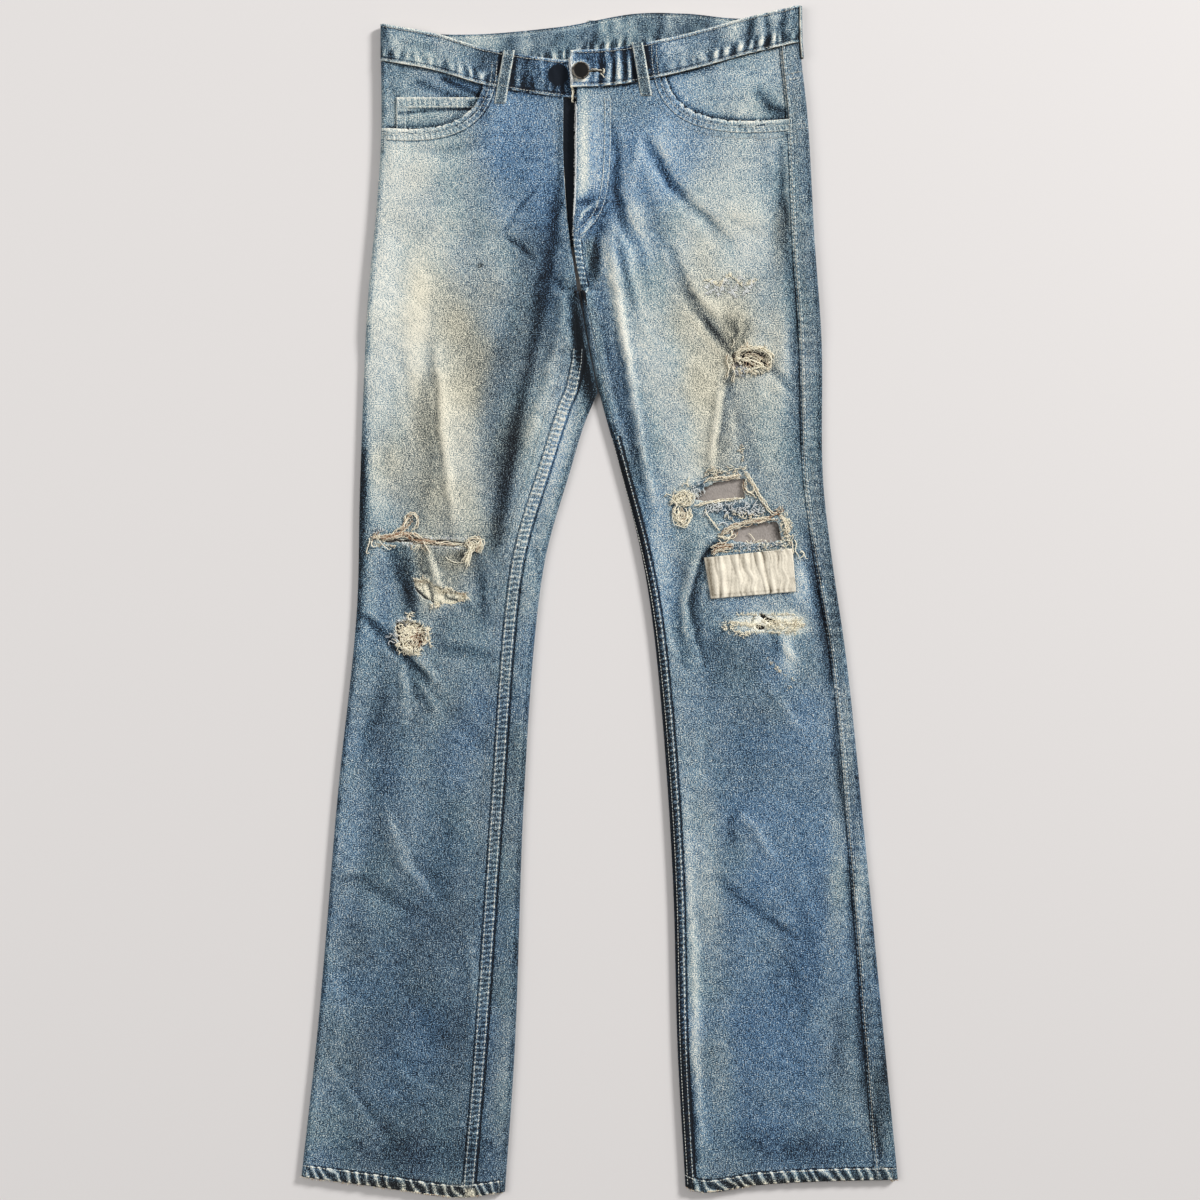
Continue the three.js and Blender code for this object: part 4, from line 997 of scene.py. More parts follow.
def foldBlock(leg, nominal, side, degrees, topEdge):
    turn = np.radians(degrees)
    out = leg["out"] if side == "outer" else -leg["out"]

    def xOf(y):
        radius = foldRadius(y)
        return leg[side](y) - out * radius + out * radius * np.cos(turn)

    x, y = settle(leg, nominal[:, None], xOf, topEdge)
    z = seatLift(y) + foldRadius(y) * (1 + np.sin(turn))
    return {"x": x, "y": y, "z": z, "kind": 0}


def underBlock(leg, nominal, start, end, share, topEdge):
    x, y = settle(leg, nominal[:, None], lambda y: lerp(start(y), end(y), share), topEdge)
    return {"x": x, "y": y, "z": seatLift(y), "kind": -1}


# How dark the inside of the leg is under the rips: x, y, half width, half height, amount.
ripShade = [
    (149, 235, 20, 10, 1.0), (142, 110, 5, 10, 0.8), (103, 106, 8, 8, 0.3), (176, 68, 6, 12, 0.5),
    (-172, 57, 50, 5, 0.7), (-183, -32, 18, 16, 1.0), (164, -16, 12, 6, 0.8), (155, -25, 8, 4, 0.8),
]


def joinBlocks(leg, blocks, seamNames, underNames=(), lift=None, rips=()):
    # Works out the height, the worn colour and the painted shade of every point, and puts the blocks side by side.
    for block in blocks:
        x, y = block["x"], block["y"]
        onTop = block["kind"] == 1
        closed = [np.vstack([outline, outline[:1]]) for outline in rips] if onTop else []
        for outline in closed:
            gap, _, _, px, py, _ = nearLine(outline, x, y)
            snap = gap < 1.25
            x, y = np.where(snap, px, x), np.where(snap, py, y)
        names = seamNames if onTop else underNames if block["kind"] < 0 else ()
        across, along, rise, pucker = seamFields(names, x, y)
        if underNames:  # painted shade in the crotch
            pucker = pucker + hump(np.hypot((x + 16) / 12, (y - 292) / 26))
        fade, warm = wearAndShadeAt(x, y)
        edge = 0.12 * lattice(x, y, 14, 41)
        if onTop:
            block["z"] = topHeight(leg, x, y) + rise + (lift(x, y) if lift else 0)
            wear = foldWearAndShade(leg, x, y)
        elif block["kind"] == 0:
            wear = edge - 0.16
        else:
            fade, warm = 0.36 + 0.6 * edge + 0 * x, -0.4 + 0 * x
            for at in ripShade:
                pucker = pucker + at[4] * hump(np.hypot((x - at[0]) / at[2], (y - at[1]) / at[3]))
            block["z"] = np.maximum(block["z"] - rise, 0.0) + 0 * x
            wear = edge
        for outline in closed:
            worn = hump(nearLine(outline, x, y)[0] / 4.0)
            block["z"] = block["z"] + worn * (0.5 + 0.5 * lattice(x, y, 6, 31))
            wear = wear + worn * (0.2 + 0.2 * lattice(x, y, 5, 32))
        block.update(x=x, y=y, across=across, along=along, fade=fade, warm=warm, wear=wear,
            pucker=pucker)
        block["z"] = np.broadcast_to(block["z"], x.shape)
    points = np.concatenate([np.stack([b["x"], b["y"], b["z"]], -1) for b in blocks], 1)
    fields = {
        key: np.concatenate([np.broadcast_to(b[key], b["x"].shape) for b in blocks], 1)
        for key in ("across", "along", "fade", "warm", "wear", "pucker")
    }
    kind = np.concatenate([np.full(b["x"].shape[1], b["kind"]) for b in blocks])
    return points, fields, kind


def faceMiddles(grid):
    return (grid[:-1, :-1] + grid[1:, :-1] + grid[:-1, 1:] + grid[1:, 1:]) / 4


def ragged(outline, size, amount, seed):  # an outline with a torn edge
    outline = np.vstack([outline, outline[:1]]).astype(float)
    dense = []
    for a, b in zip(outline[:-1], outline[1:]):
        n = max(1, int(np.hypot(*(b - a)) / size))
        dense += [lerp(a, b, k / n) for k in range(n)]
    dense = np.array(dense)
    jog = np.stack([lattice(dense[:, 0], dense[:, 1], 3.1, seed),
        lattice(dense[:, 0], dense[:, 1], 2.7, seed + 1)], 1)
    return dense + amount * jog


# The holes torn right through the fronts' cloth, as outlines.
rips = {
    "right": [
        [[-216, 60.5], [-205, 61], [-190, 61], [-175, 62], [-168, 62.5], [-157, 60.5],
            [-140, 58.5], [-128, 57.5], [-127, 54.5], [-140, 54.5], [-160, 55.5], [-175, 57.5],
            [-192, 58.5], [-206, 58.5]],
        [[-180, 22], [-170, 21], [-163, 19], [-152, 12], [-140, 9], [-129, 8], [-128, 3],
            [-134, 0], [-142, -2], [-150, -1], [-158, -4], [-163, 0], [-170, 4], [-178, 12]],
        [[-196, -20], [-189, -18], [-182, -18], [-174, -21], [-169, -26], [-168, -32],
            [-170, -39], [-177, -44], [-184, -46], [-191, -43], [-197, -35]],
    ],
    "left": [
        [[129, 241], [140, 243], [152, 244], [164, 241], [166, 235], [162, 228], [150, 228],
            [138, 227], [130, 229]],
        [[94, 99], [98, 106], [105, 112], [113, 116.5], [127, 118.5], [142, 120.5],
            [143, 110], [143, 101], [130, 100], [118, 99], [104, 98]],
        [[126, 62], [132, 70], [143, 73.5], [158, 76.5], [173, 79], [176, 70], [179, 60],
            [166, 57.5], [150, 57], [134, 58.5]],
        [[155, -11], [160, -12], [171, -18], [173, -21], [166, -20], [157, -15]],
        [[151, -22], [158, -23], [163, -26], [158, -27], [152, -25]],
    ],
}
tornRight = [ragged(outline, 2.0, 1.1, 50 + i) for i, outline in enumerate(rips["right"])]
tornLeft = [ragged(outline, 2.0, 1.1, 60 + i) for i, outline in enumerate(rips["left"])]
frontRows = stations((-565, -540, 1.8), (-540, -70, 2.6), (-70, 130, 1.8), (130, 500, 2.2))
frontRows[-1] = 500
foldTurns = [-90, -67, -45, -22, 0, 22, 45, 67, 90]
panelUse = {"materials": ["denim", "legInside", "rawEdge"]}


def scoopOutline(curve, top):
    return np.vstack([curve, [[curve[-1][0], top], [curve[0][0], top]]])


def openScoop(points, fields, curve, top):
    # The pocket opening: points near its edge move on to it, and the faces above it go.
    gap, _, _, px, py, _ = nearLine(curve, points[..., 0], points[..., 1])
    snap = (gap < 1.3)[..., None]
    points[..., :2] = np.where(snap, np.stack([px, py], -1), points[..., :2])
    worn = 0.45 + 0.35 * lattice(points[..., 0], points[..., 1], 5, 85)
    fields["wear"] += worn * hump(gap / 1.7) - 0.2 * hump((gap - 4.6) / 1.2)
    middle = faceMiddles(points)
    return ~insideOf(scoopOutline(curve, top), middle[..., 0], middle[..., 1])


def keepUntorn(points, kind, torn):
    middle = faceMiddles(points)
    top = (kind[:-1] == 1) & (kind[1:] == 1)
    keep = np.ones(middle.shape[:2], bool)
    for outline in torn:
        keep &= ~(insideOf(outline, middle[..., 0], middle[..., 1]) & top[None, :])
    return keep


frontRightCut = {
    "nodes": ["front_right"], "slot": "denim", "flat": (0.27, 1.085), "area": 0.2,
    "restsOn": ["back_right", "pocket_facing_right"],
}
blocks = [
    underBlock(right, frontRows, sideSeamX(right), outerTangent(right),
        np.linspace(0, 1, 5)[:-1], right["waistSeam"]),
    foldBlock(right, frontRows, "outer", foldTurns, right["waistSeam"]),
    topBlock(right, frontRows, outerTangent(right), frontEnd(right),
        fractions(False, True)[1:], right["waistSeam"]),
]
points, fields, kind = joinBlocks(
    right, blocks, ["inseamRight", "scoopEdgeRight", "scoopRight", "hemRight"], (), coinLift, tornRight)
keep = keepUntorn(points, kind, tornRight)
keep &= openScoop(points, fields, rightScoop, 560)
clothPiece("frontRight", points, fields, panelUse, frontRightCut, keep)

frontLeftCut = {
    "nodes": ["front_left"], "slot": "denim", "flat": (0.25, 1.085), "area": 0.19,
    "restsOn": ["back_left", "pocket_facing_left"],
}
blocks = [topBlock(left, frontRows, frontEnd(left), lambda y: sideSeamX(left)(y) - 0.05,
    fractions(True, True), left["waistSeam"])]


def flyStand(x, y):
    return flyLift(x, y) + 1.2 * hump((x + 20) / 7) * ease(fork + 30, fork + 80, y)


points, fields, kind = joinBlocks(
    left, blocks, ["inseamLeft", "outseamLeft", "fly", "flyFoot", "scoopEdgeLeft", "scoopLeft",
        "hemLeft"], (), flyStand, tornLeft)
keep = keepUntorn(points, kind, tornLeft)
keep &= openScoop(points, fields, leftScoop, 580)
clothPiece("frontLeft", points, fields, panelUse, frontLeftCut, keep)
print("fronts made")

backRows = stations((-565, -540, 2.4), (-540, 302, 3.0), (302, 500, 3.6))
backRows[-1] = 500


def backPanel(leg, name, cut, flip):
    share = leg["out"] * lie["share"]

    def underStart(y):
        return np.where(y > fork, centreBack(y) + share, innerTangent(leg)(y))

    blocks = [
        topBlock(leg, backRows, lambda y: inseamX(leg)(y) - share, innerTangent(leg),
            fractions(True, False, 2.4, 1.5, 14, 24 if leg is right else 5)[:-1], yokeSeam),
        foldBlock(leg, backRows, "inner", foldTurns[::-1], yokeSeam),
    ]
    wrapped = sum(b["x"].shape[1] for b in blocks)
    if leg is right:
        blocks.append(underBlock(leg, backRows, underStart,
            lambda y: sideSeamX(leg)(y) + 0.3, np.linspace(0, 1, 16)[1:], yokeSeam))
    else:
        blocks += [
            underBlock(leg, backRows, underStart, outerTangent(leg),
                np.linspace(0, 1, 17)[1:-1], yokeSeam),
            foldBlock(leg, backRows, "outer", foldTurns, yokeSeam),
            topBlock(leg, backRows, outerTangent(leg), lambda y: sideSeamX(leg)(y) + 0.05,
                fractions(False, True, 2.2, 1.4, 10, 14)[1:], yokeSeam),
        ]
    seamNames = ["inseamRight", "hemRight"] if leg is right else [
        "inseamLeft", "outseamLeft", "hemLeft", "yokeCorner"]
    points, fields, _ = joinBlocks(leg, blocks, seamNames, ["yoke", "seat"])
    keep = np.ones((len(points) - 1, points.shape[1] - 1), bool)
    keep[np.searchsorted(backRows, fork - 0.5):, :wrapped] = False
    clothPiece(name, points, fields, panelUse, cut, keep, flip)


backPanel(right, "backRight", {
    "nodes": ["back_right"], "slot": "denim", "flat": (0.27, 1.08), "area": 0.215,
    "restsOn": ["back_pocket_right"],
}, False)
backPanel(left, "backLeft", {
    "nodes": ["back_left"], "slot": "denim", "flat": (0.31, 1.09), "area": 0.24,
    "restsOn": ["back_pocket_left"],
}, True)


def yokePiece(leg, name, cut, flip):
    steps = np.linspace(0, 1, 17)[:, None]
    share = leg["out"] * lie["share"]

    def placed(xOf, zOf, kind):
        y = np.full((17, 1), 505.0)
        for _ in range(4):
            x = xOf(y)
            y = lerp(yokeSeam(x) + 0.1, backWaistSeam(x) - 0.3, steps)
        return {"x": xOf(y), "y": y, "z": zOf(y), "kind": kind}

    def under(start, end, n, first):
        share = np.linspace(0, 1, n)[None, first:]
        return placed(lambda y: lerp(start(y), end(y), share), seatLift, -1)

    start = lambda y: centreBack(y) + share
    if leg is right:
        blocks = [under(start, lambda y: sideSeamX(leg)(y) + 0.3, 60, 0)]
    else:
        turn = np.radians(foldTurns)[None]
        top = np.linspace(0, 1, 9)[None, 1:]
        blocks = [
            under(start, outerTangent(leg), 60, 0),
            placed(lambda y: leg["outer"](y) + foldRadius(y) * (np.cos(turn) - 1),
                lambda y: seatLift(y) + foldRadius(y) * (1 + np.sin(turn)), 0),
            placed(lambda y: lerp(outerTangent(leg)(y), sideSeamX(leg)(y) + 0.05, top),
                lambda y: 0 * y, 1),
        ]
        blocks[0] = {k: (v[:, :-1] if k != "kind" else v) for k, v in
            {**blocks[0], "z": blocks[0]["z"] + 0 * blocks[0]["x"]}.items()}
    points, fields, _ = joinBlocks(leg, blocks, ["outseamLeft"], ["yoke", "seat"])
    clothPiece(name, points, fields, panelUse, cut, None, flip)


yokePiece(right, "yokeRight", {
    "nodes": ["yoke_right"], "slot": "denim", "flat": (0.19, 0.056), "area": 0.007,
    "restsOn": ["backRight"],
}, False)
yokePiece(left, "yokeLeft", {
    "nodes": ["yoke_left"], "slot": "denim", "flat": (0.22, 0.072), "area": 0.01,
    "restsOn": ["backLeft"],
}, True)
print("backs and yokes made")

bandLook = {
    "fade": 0.43, "warm": -0.15, "rows": 37,
    # where a crease stands, its width, how deep (negative) or proud, and on which face
    "pleats": [
        (-5, 3, -0.9, -1), (3, 4, 0.6, -1), (11, 2.5, -0.7, -1), (18, 3, 0.5, -1),
        (26, 3, -0.6, -1), (34, 4, 0.4, -1), (-62, 3, -0.5, -1), (-90, 4, 0.3, -1),
        (60, 3, -0.5, -1), (70, 4, 0.3, -1), (44, 2, -0.4, -1), (100, 4, 0.3, -1),
        (146, 4, -0.9, 1), (155, 4, 0.5, 1), (162, 3, -0.8, 1), (170, 4, 0.5, 1),
        (178, 2.5, -0.6, 1), (186, 3, 0.5, 1), (0, 2.2, -0.8, 1), (7, 2, 0.9, 1),
        (13, 2, -1.0, 1), (19, 2.2, 0.7, 1), (25, 2, -0.9, 1), (31, 2.4, 0.8, 1),
        (37, 2, -0.7, 1), (-44, 2, 0.5, 1), (-55, 2, 0.6, 1), (-70, 2, -0.5, 1),
        (-78, 2, 0.5, 1), (-110, 2, -0.5, 1),
        (-100, 3, 0.3, 1), (-120, 3, 0.2, 1), (-62, 3, 0.3, 1), (-206, 4, -0.5, 1),
    ],
}


frontLoops = ((-91, 9), (42, -9))  # middle x and lean of each front belt loop


def waistband():
    t = np.linspace(0, 1, bandLook["rows"])[:, None]
    section = lie["bandSection"]
    radius, lift = float(foldRadius(section)), float(seatLift(section))
    strips = []

    def strip(x, z, seam, kind, over):
        x = np.broadcast_to(x, (1, x.shape[-1]))
        y = seam(x) + 0.1 + lie["bandHeight"] * t
        strips.append((np.broadcast_to(x, y.shape), y, np.broadcast_to(z, y.shape),
            np.full(y.shape, kind), np.full(y.shape, over)))

    xr = np.linspace(-6, float(outerTangent(right)(section)), 150)
    yr = np.full((1, 150), section)
    zr = topHeight(right, xr[None], yr) - lie["endDrop"] * ease(-70, -30, xr)
    strip(xr, zr, right["waistSeam"], 1, 0)
    turn = np.radians([67, 45, 22, 0, -22, -45, -67])
    strip(float(right["outer"](section)) + radius * (1 - np.cos(turn)),
        (lift + radius * (1 + np.sin(turn)))[None], backWaistSeam, 0, 0)
    strip(np.linspace(float(outerTangent(right)(section)), float(outerTangent(left)(section)), 290),
        np.array([[lift]]), backWaistSeam, -1, 0)
    strip(float(left["outer"](section)) - radius * (1 - np.cos(turn[::-1])),
        (lift + radius * (1 + np.sin(turn[::-1])))[None], backWaistSeam, 0, 0)
    xl = np.linspace(float(outerTangent(left)(section)), -27, 160)
    yl = np.full((1, 160), section)
    zl = topHeight(left, xl[None], yl) + overlapLift(xl)
    strip(xl, zl, left["waistSeam"], 1, 1)
    x, y, z, kind, over = (np.concatenate(part, 1) for part in zip(*strips))
    length = smoothStep(np.stack([x, 0 * x, z], -1))
    rise = t * lie["bandHeight"] + 0 * x
    fromFoot, fromTop = rise, lie["bandHeight"] - rise
    gathered = length + 3.2 * lattice(length, 0, 8, 70) + 0.25 * rise * lattice(length, 0, 13, 76)
    wave = np.cos(2 * np.pi * gathered / 10.5) * (0.65 + 0.5 * lattice(length, 0, 27, 71))
    crushed = hump((x - 8) / 26) * over * (kind > 0)
    pucker = wave * lerp(hump((fromFoot - 8) / 5), 1.7 * hump((fromFoot - 14) / 14), crushed)
    pucker = pucker * np.where(kind < 0, 0.8 * hump((x - 10) / 90) + 0.2, 1)
    crumple = 0.8 * lattice(length, rise * 0.7, 16, 72) + 0.4 * lattice(length, rise, 7, 73)
    edges = 0.55 * hump((fromFoot - 1.5) / 2) + 0.5 * hump((fromTop - 1) / 1.8)
    # Deep upright creases at the left end, and pleats on the inside at the centre back.
    pleats = np.zeros(x.shape)
    for at, wide, deep, face in bandLook["pleats"]:
        lean = at + 3 * lattice(rise, at, 16, 77)
        pleats += deep * hump((x - lean) / wide) * (kind == face)
    swell = edges + 1.1 * pucker + 0.8 * crumple
    z = z + np.where(kind > 0, swell + 0.5 + 1.2 * pleats, 0) - np.where(kind < 0, 0.25 * swell, 0)
    near = np.where(fromFoot < fromTop, (fromFoot - 2.0) / 1.7, (fromTop - 1.0) / 1.3)
    fade = bandLook["fade"] + 0.16 * lattice(length, rise, 34, 74)
    fade = fade - 0.24 * hump((x + 90) / 30) * (kind > 0) - 0.2 * hump((x - 34) / 50)
    fade = fade - 0.34 * hump((x + 66) / 22) * (kind > 0) * (1 - over)
    fade = fade + 0.1 * hump((x + 190) / 26) * (kind > 0) - 0.05 * hump((x - 100) / 50)
    fade = fade - 0.06 * (kind < 0) + 0.04 * hump((x - 130) / 60) * (kind > 0)
    fade = np.where(kind < 0, lerp(fade, 0.5, 0.6), fade)
    # Puckers, crumples and pleats are painted paler on their crests and darker in their dips: partly worn, partly
    # painted light and shade.
    wear = 0.74 * np.maximum(pucker, -0.5) + 0.28 * crumple
    wear = wear + pleats * np.where(kind < 0, 0.16, 0.46)
    wear = wear + over * (kind > 0) * 0.5 * hump((x + 26) / 3)
    footRim = 0.4 * hump((fromFoot - 1) / 1.1) - 0.34 * hump((fromFoot - 3.4) / 1.1)
    topRim = 0.42 * hump((fromTop - 0.6) / 1.2) - 0.3 * hump((fromTop - 3) / 1.1)
    wear = wear + np.where(fromFoot < fromTop, footRim, topRim) * np.where(kind < 0, -0.7, 1)
    wear = wear - 0.3 * hump((x + 212) / 6)
    ring = np.hypot(x + 17, y - 514)
    wear = wear + over * (kind > 0) * 0.5 * hump((ring - 9.5) / 1.6)
    # A painted shadow of the button, cast to its left on the band's under end, with softer painted shade around it.
    stainAndShadow = 1 - ease(0.85, 1.1, np.hypot((x + 39) / 9.5, (y - 511) / 10.5))
    stainAndShadow = np.maximum(stainAndShadow, 0.4 * hump(np.hypot((x + 37) / 12, (y - 504) / 12)))
    stainAndShadow = stainAndShadow * (1 - over) * (kind > 0)
    for at, lean in frontLoops:  # shade beside the belt loops
        beside = np.abs(x - at - lean * (rise / 51 - 0.23)) - 7.4
        wear = wear - 0.7 * hump(beside / 2) * (kind > 0)
    fields = {
        "across": np.clip(near, -3, 3), "along": length, "fade": fade - 1.7 * stainAndShadow,
        "pucker": 0.25 + 0 * x, "wear": wear,
        "warm": bandLook["warm"] + 0.3 * lattice(length, rise, 40, 75)
        - 0.7 * hump((x + 20) / 80) * (kind > 0) + 0.15 * (kind < 0),
    }
    hole = np.array([[-22, 512.6], [4.5, 513.2], [4.5, 515], [-22, 515.4]])
    middleX, middleY = faceMiddles(x), faceMiddles(y)
    keep = ~(insideOf(hole, middleX, middleY) & (faceMiddles(over * (kind > 0)) > 0.5))
    clothPiece("waistband", np.stack([x, y, z], -1), fields,
        {"materials": ["denim", "bandInside", "rawEdge"], "wall": 1.9}, {
            "nodes": ["waistband"], "slot": "denim", "flat": (0.87, 0.036),
            "restsOn": ["frontRight", "frontLeft", "yokeRight", "yokeLeft"],
        }, keep, True)


waistband()
print("waistband made")


def layered(name, leg, x, y, depth, seamNames, use, cut, fade=None, extra=None):
    # A small piece that follows the leg's top layer at a depth.
    across, along, rise, pucker = seamFields(seamNames, x, y)
    z = topHeight(leg, x, y) - depth + rise
    f, w = wearAndShadeAt(x, y)
    fields = {
        "across": across, "along": along, "pucker": pucker, "wear": 0.08 * lattice(x, y, 7, 81) + 0 * x,
        "fade": f if fade is None else fade[0] + 0.06 * lattice(x, y, 18, 82),
        "warm": w if fade is None else fade[1] + 0 * x,
    }
    if extra:
        z = np.maximum(z + extra(x, y, fields), 2.5)
    clothPiece(name, np.stack([x, y, z], -1), fields, use, cut)


facingUse = {"materials": ["facing", "legInside", "rawEdge"], "wall": 1.0}
facingCreases = [  # a line, its width, and how dark it is painted, as shade (negative is a painted pale ridge)
    ([[-150, 508], [-132, 498], [-114, 490]], 2.6, 0.6),
    ([[-175, 505], [-150, 494], [-122, 487]], 3, 0.35),
    ([[-140, 502], [-124, 493], [-114, 482]], 2.2, -0.3),
    ([[-120, 480], [-126, 470], [-142, 462]], 4, 0.55),
    ([[-200, 500], [-190, 480], [-196, 460]], 4, 0.2),
    ([[155, 494], [164, 486], [177, 474]], 6, 0.42), ([[168, 480], [184, 476]], 3, 0.3),
    ([[68, 520], [84, 514], [110, 517]], 3, 0.25), ([[136, 470], [148, 486], [152, 496]], 5, -0.15),
    ([[96, 476], [120, 470], [150, 468]], 4, 0.14),
]


def facingPiece(leg, name, innerEdge, foot, cut):
    rows = np.linspace(foot, 500, 38)
    cols = np.linspace(0, 1, 62)
    edge = lambda y: innerEdge + 0 * y
    if leg is right:
        blocks = [
            underBlock(leg, rows, sideSeamX(leg), outerTangent(leg), np.linspace(0, 1, 5)[:-1],
                leg["waistSeam"]),
            foldBlock(leg, rows, "outer", foldTurns, leg["waistSeam"]),
            topBlock(leg, rows, outerTangent(leg), edge, cols[1:], leg["waistSeam"]),
        ]
    else:
        blocks = [topBlock(leg, rows, edge, lambda y: sideSeamX(leg)(y) - 0.05, cols, leg["waistSeam"])]
    points, fields, kind = joinBlocks(leg, blocks, ["outseamLeft"] if leg is left else [])
    sink = np.where(kind > 0, lie["wall"] + 0.3, 0.0)
    points[..., 2] -= sink
    fields["fade"] = fields["fade"] * 0.55 + (0.16 if leg is right else 0.3)
    px, py = points[..., 0], points[..., 1]
    # The creases sink a little and are painted darker, as shade.
    for line, wide, dark in facingCreases:
        shape = hump(nearLine(line, px, py)[0] / wide)
        points[..., 2] -= 0.5 * dark * shape * (kind > 0)
        fields["wear"] = fields["wear"] - dark * shape
    shade = hump(nearLine(rightScoop if leg is right else leftScoop, px, py)[0] / 3.2)
    fields["wear"] = fields["wear"] - 0.6 * shade * (kind > 0)
    fields["wear"] = fields["wear"] + 0.06 * lattice(points[..., 0], points[..., 1], 9, 83)
    clothPiece(name, points, fields, facingUse, cut)


facingPiece(right, "pocketFacingRight", -92, 425, {
    "nodes": ["pocket_facing_right"], "slot": "facing_denim", "flat": (0.143, 0.1),
    "area": 0.0122, "restsOn": ["yokeRight", "backRight"],
})
facingPiece(left, "pocketFacingLeft", 48, 430, {
    "nodes": ["pocket_facing_left"], "slot": "facing_denim", "flat": (0.139, 0.11),
    "area": 0.013, "restsOn": ["yokeLeft", "backLeft"],
})


def coinFolds(x, y, fields):
    # Its opening's pale edge, the painted shade of the crease under the stitches, and the painted shade at its right.
    crease = hump(nearLine([[-194, 474], [-160, 477], [-112, 479]], x, y)[0] / 1.6)
    top = hump((489 - y) / 1.2)
    shade = hump(nearLine(rightScoop, x, y)[0] / 6)
    fields["wear"] = fields["wear"] - 0.55 * crease + 0.3 * top - 0.5 * shade
    return -0.5 * crease


u, v = np.meshgrid(np.linspace(0, 1, 60), np.linspace(0, 1, 44))
layered("coinPocket", right, lerp(-196, -110, u), lerp(432, 489.5, v), 0.15, ["coinTop", "coinSide"],
    facingUse, {
        "nodes": ["coin_pocket"], "slot": "facing_denim", "flat": (0.086, 0.057),
        "restsOn": ["pocketFacingRight"],
    }, fade=(0.66, 0.1), extra=coinFolds)

# The fly shield: painted nearly black, partly unfaded indigo and partly painted shadow under the fly's edge.
u, v = np.meshgrid(np.linspace(0, 1, 22), np.linspace(0, 1, 60))
layered("flyShield", right, lerp(lerp(-34, -46, v), lerp(-12, 4, v), u), lerp(345, 488.6, v),
    1.5, [], {"materials": ["shield", "shield", "rawEdge"], "wall": 1.0}, {
        "nodes": ["fly_shield"], "slot": "denim", "flat": (0.05, 0.141), "area": 0.0054,
        "restsOn": ["yokeRight"],
    }, fade=(0.1, -0.5))


patchLook = {
    # upright creases: place along the width, lean, height, width in mm, how dark they are painted, as shade
    "creases": [
        (0.125, 0.02, -0.7, 0.7, 0.7), (0.25, -0.05, -0.8, 0.8, 0.6), (0.315, 0.08, -0.7, 0.7, 0.6),
        (0.38, -0.06, -0.9, 0.8, 0.8), (0.455, 0.07, -0.6, 0.7, 0.6), (0.51, -0.04, -0.8, 0.8, 0.7),
        (0.58, 0.08, -0.9, 0.8, 0.9), (0.68, -0.05, -0.7, 0.7, 0.6), (0.73, 0.05, -0.6, 0.6, 0.5),
        (0.80, -0.03, -0.7, 0.7, 0.6), (0.86, 0.03, -0.6, 0.6, 0.5), (0.905, 0.05, -0.7, 0.7, 0.6),
        (0.10, 0.05, -1.6, 1.3, 0.9), (0.155, 0.02, 1.4, 2.0, -0.25), (0.20, 0.05, -0.8, 1.6, 0.4),
        (0.29, -0.04, -0.9, 2.0, 0.5), (0.345, 0.0, 1.0, 2.6, -0.15),
        (0.43, -0.05, -1.2, 1.8, 0.6), (0.49, 0.04, 1.2, 2.4, -0.2),
        (0.545, -0.05, -1.0, 1.6, 0.5), (0.60, 0.03, 1.2, 2.0, -0.2),
        (0.645, 0.035, -1.9, 1.3, 1.2), (0.70, 0.0, 1.3, 2.2, -0.2),
        (0.755, 0.03, -0.8, 1.5, 0.45), (0.83, 0.06, -1.0, 1.4, 0.5), (0.88, 0.0, 0.9, 2.2, -0.15),
        (0.93, 0.02, -0.6, 1.4, 0.3),
    ],
    "strip": 0.075,  # the darker folded strip down its left side
}


def patchFolds(x, y, fields):
    # Upright creases, deeper towards the sewn edges, painted darker as shade (the proud ones paler, as
    # painted highlight), and a folded strip down the left edge.
    down = (48 - y) / 45
    part = (x - 103 - 6 * down) / 86
    lift = np.zeros(np.shape(x))
    fromEnds = 0.45 + 0.55 * np.abs(2 * down - 1)
    for at, lean, height, wide, dark in patchLook["creases"]:
        off = (part - at - lean * (down - 0.5) - 0.035 * lattice(y, at * 50, 11, 91)) * 86
        shape = hump(off / wide) * fromEnds
        lift += height * shape
        fields["wear"] = fields["wear"] - 0.55 * dark * shape
    fields["wear"] = fields["wear"] - 0.6 * (1 - ease(0.5, 1.3, part / patchLook["strip"]))
    border = np.minimum(np.minimum(part + 0.01, 1.01 - part) * 86,
        np.minimum(y - 3 - 0.08 * (x - 104), 48 - y + 0.06 * (x - 104)))
    fields["wear"] = fields["wear"] + 0.2 * hump(border / 1.2) - 0.2 * hump((border - 3.2) / 0.8)
    return lift + 0.4 * lattice(x, y, 9, 92) - 0.5 * hump(border / 1.6) + 0.9


u, v = np.meshgrid(np.linspace(0, 1, 110), np.linspace(0, 1, 36))
ax, bx = lerp(102.5, 188.5, u), lerp(109, 192, u)
ay, by = lerp(43, 52, u), lerp(3, 10, u)
layered("kneePatch", left, lerp(bx, ax, v), lerp(by, ay, v), -1.5, [],
    {"materials": ["patch", "patch", "rawEdge"], "wall": 1.0}, {
        "nodes": ["knee_patch"], "slot": "patch_cloth", "flat": (0.086, 0.042),
        "restsOn": ["frontLeft"],
    }, extra=patchFolds)


def loopPiece(name, points, cut):
    # A folded strip: raised edges, pale on its rims, darker down its middle.
    rows, columns = points.shape[:2]
    share = np.linspace(-1, 1, columns)[None]
    x, y = points[..., 0], points[..., 1]
    fields = {
        "across": np.broadcast_to(share * 1.02, (rows, columns)), "along": y * 1.6,
        "pucker": 0.12 + 0 * x, "fade": 0.24 + 0.14 * lattice(x, y, 7, 95), "warm": 0.15 + 0 * x,
        "wear": 0.66 * np.abs(share) ** 5 + 0 * x,
    }
    clothPiece(name, points, fields, {"materials": ["denim", "denim", "rawEdge"], "wall": 1.2}, cut)


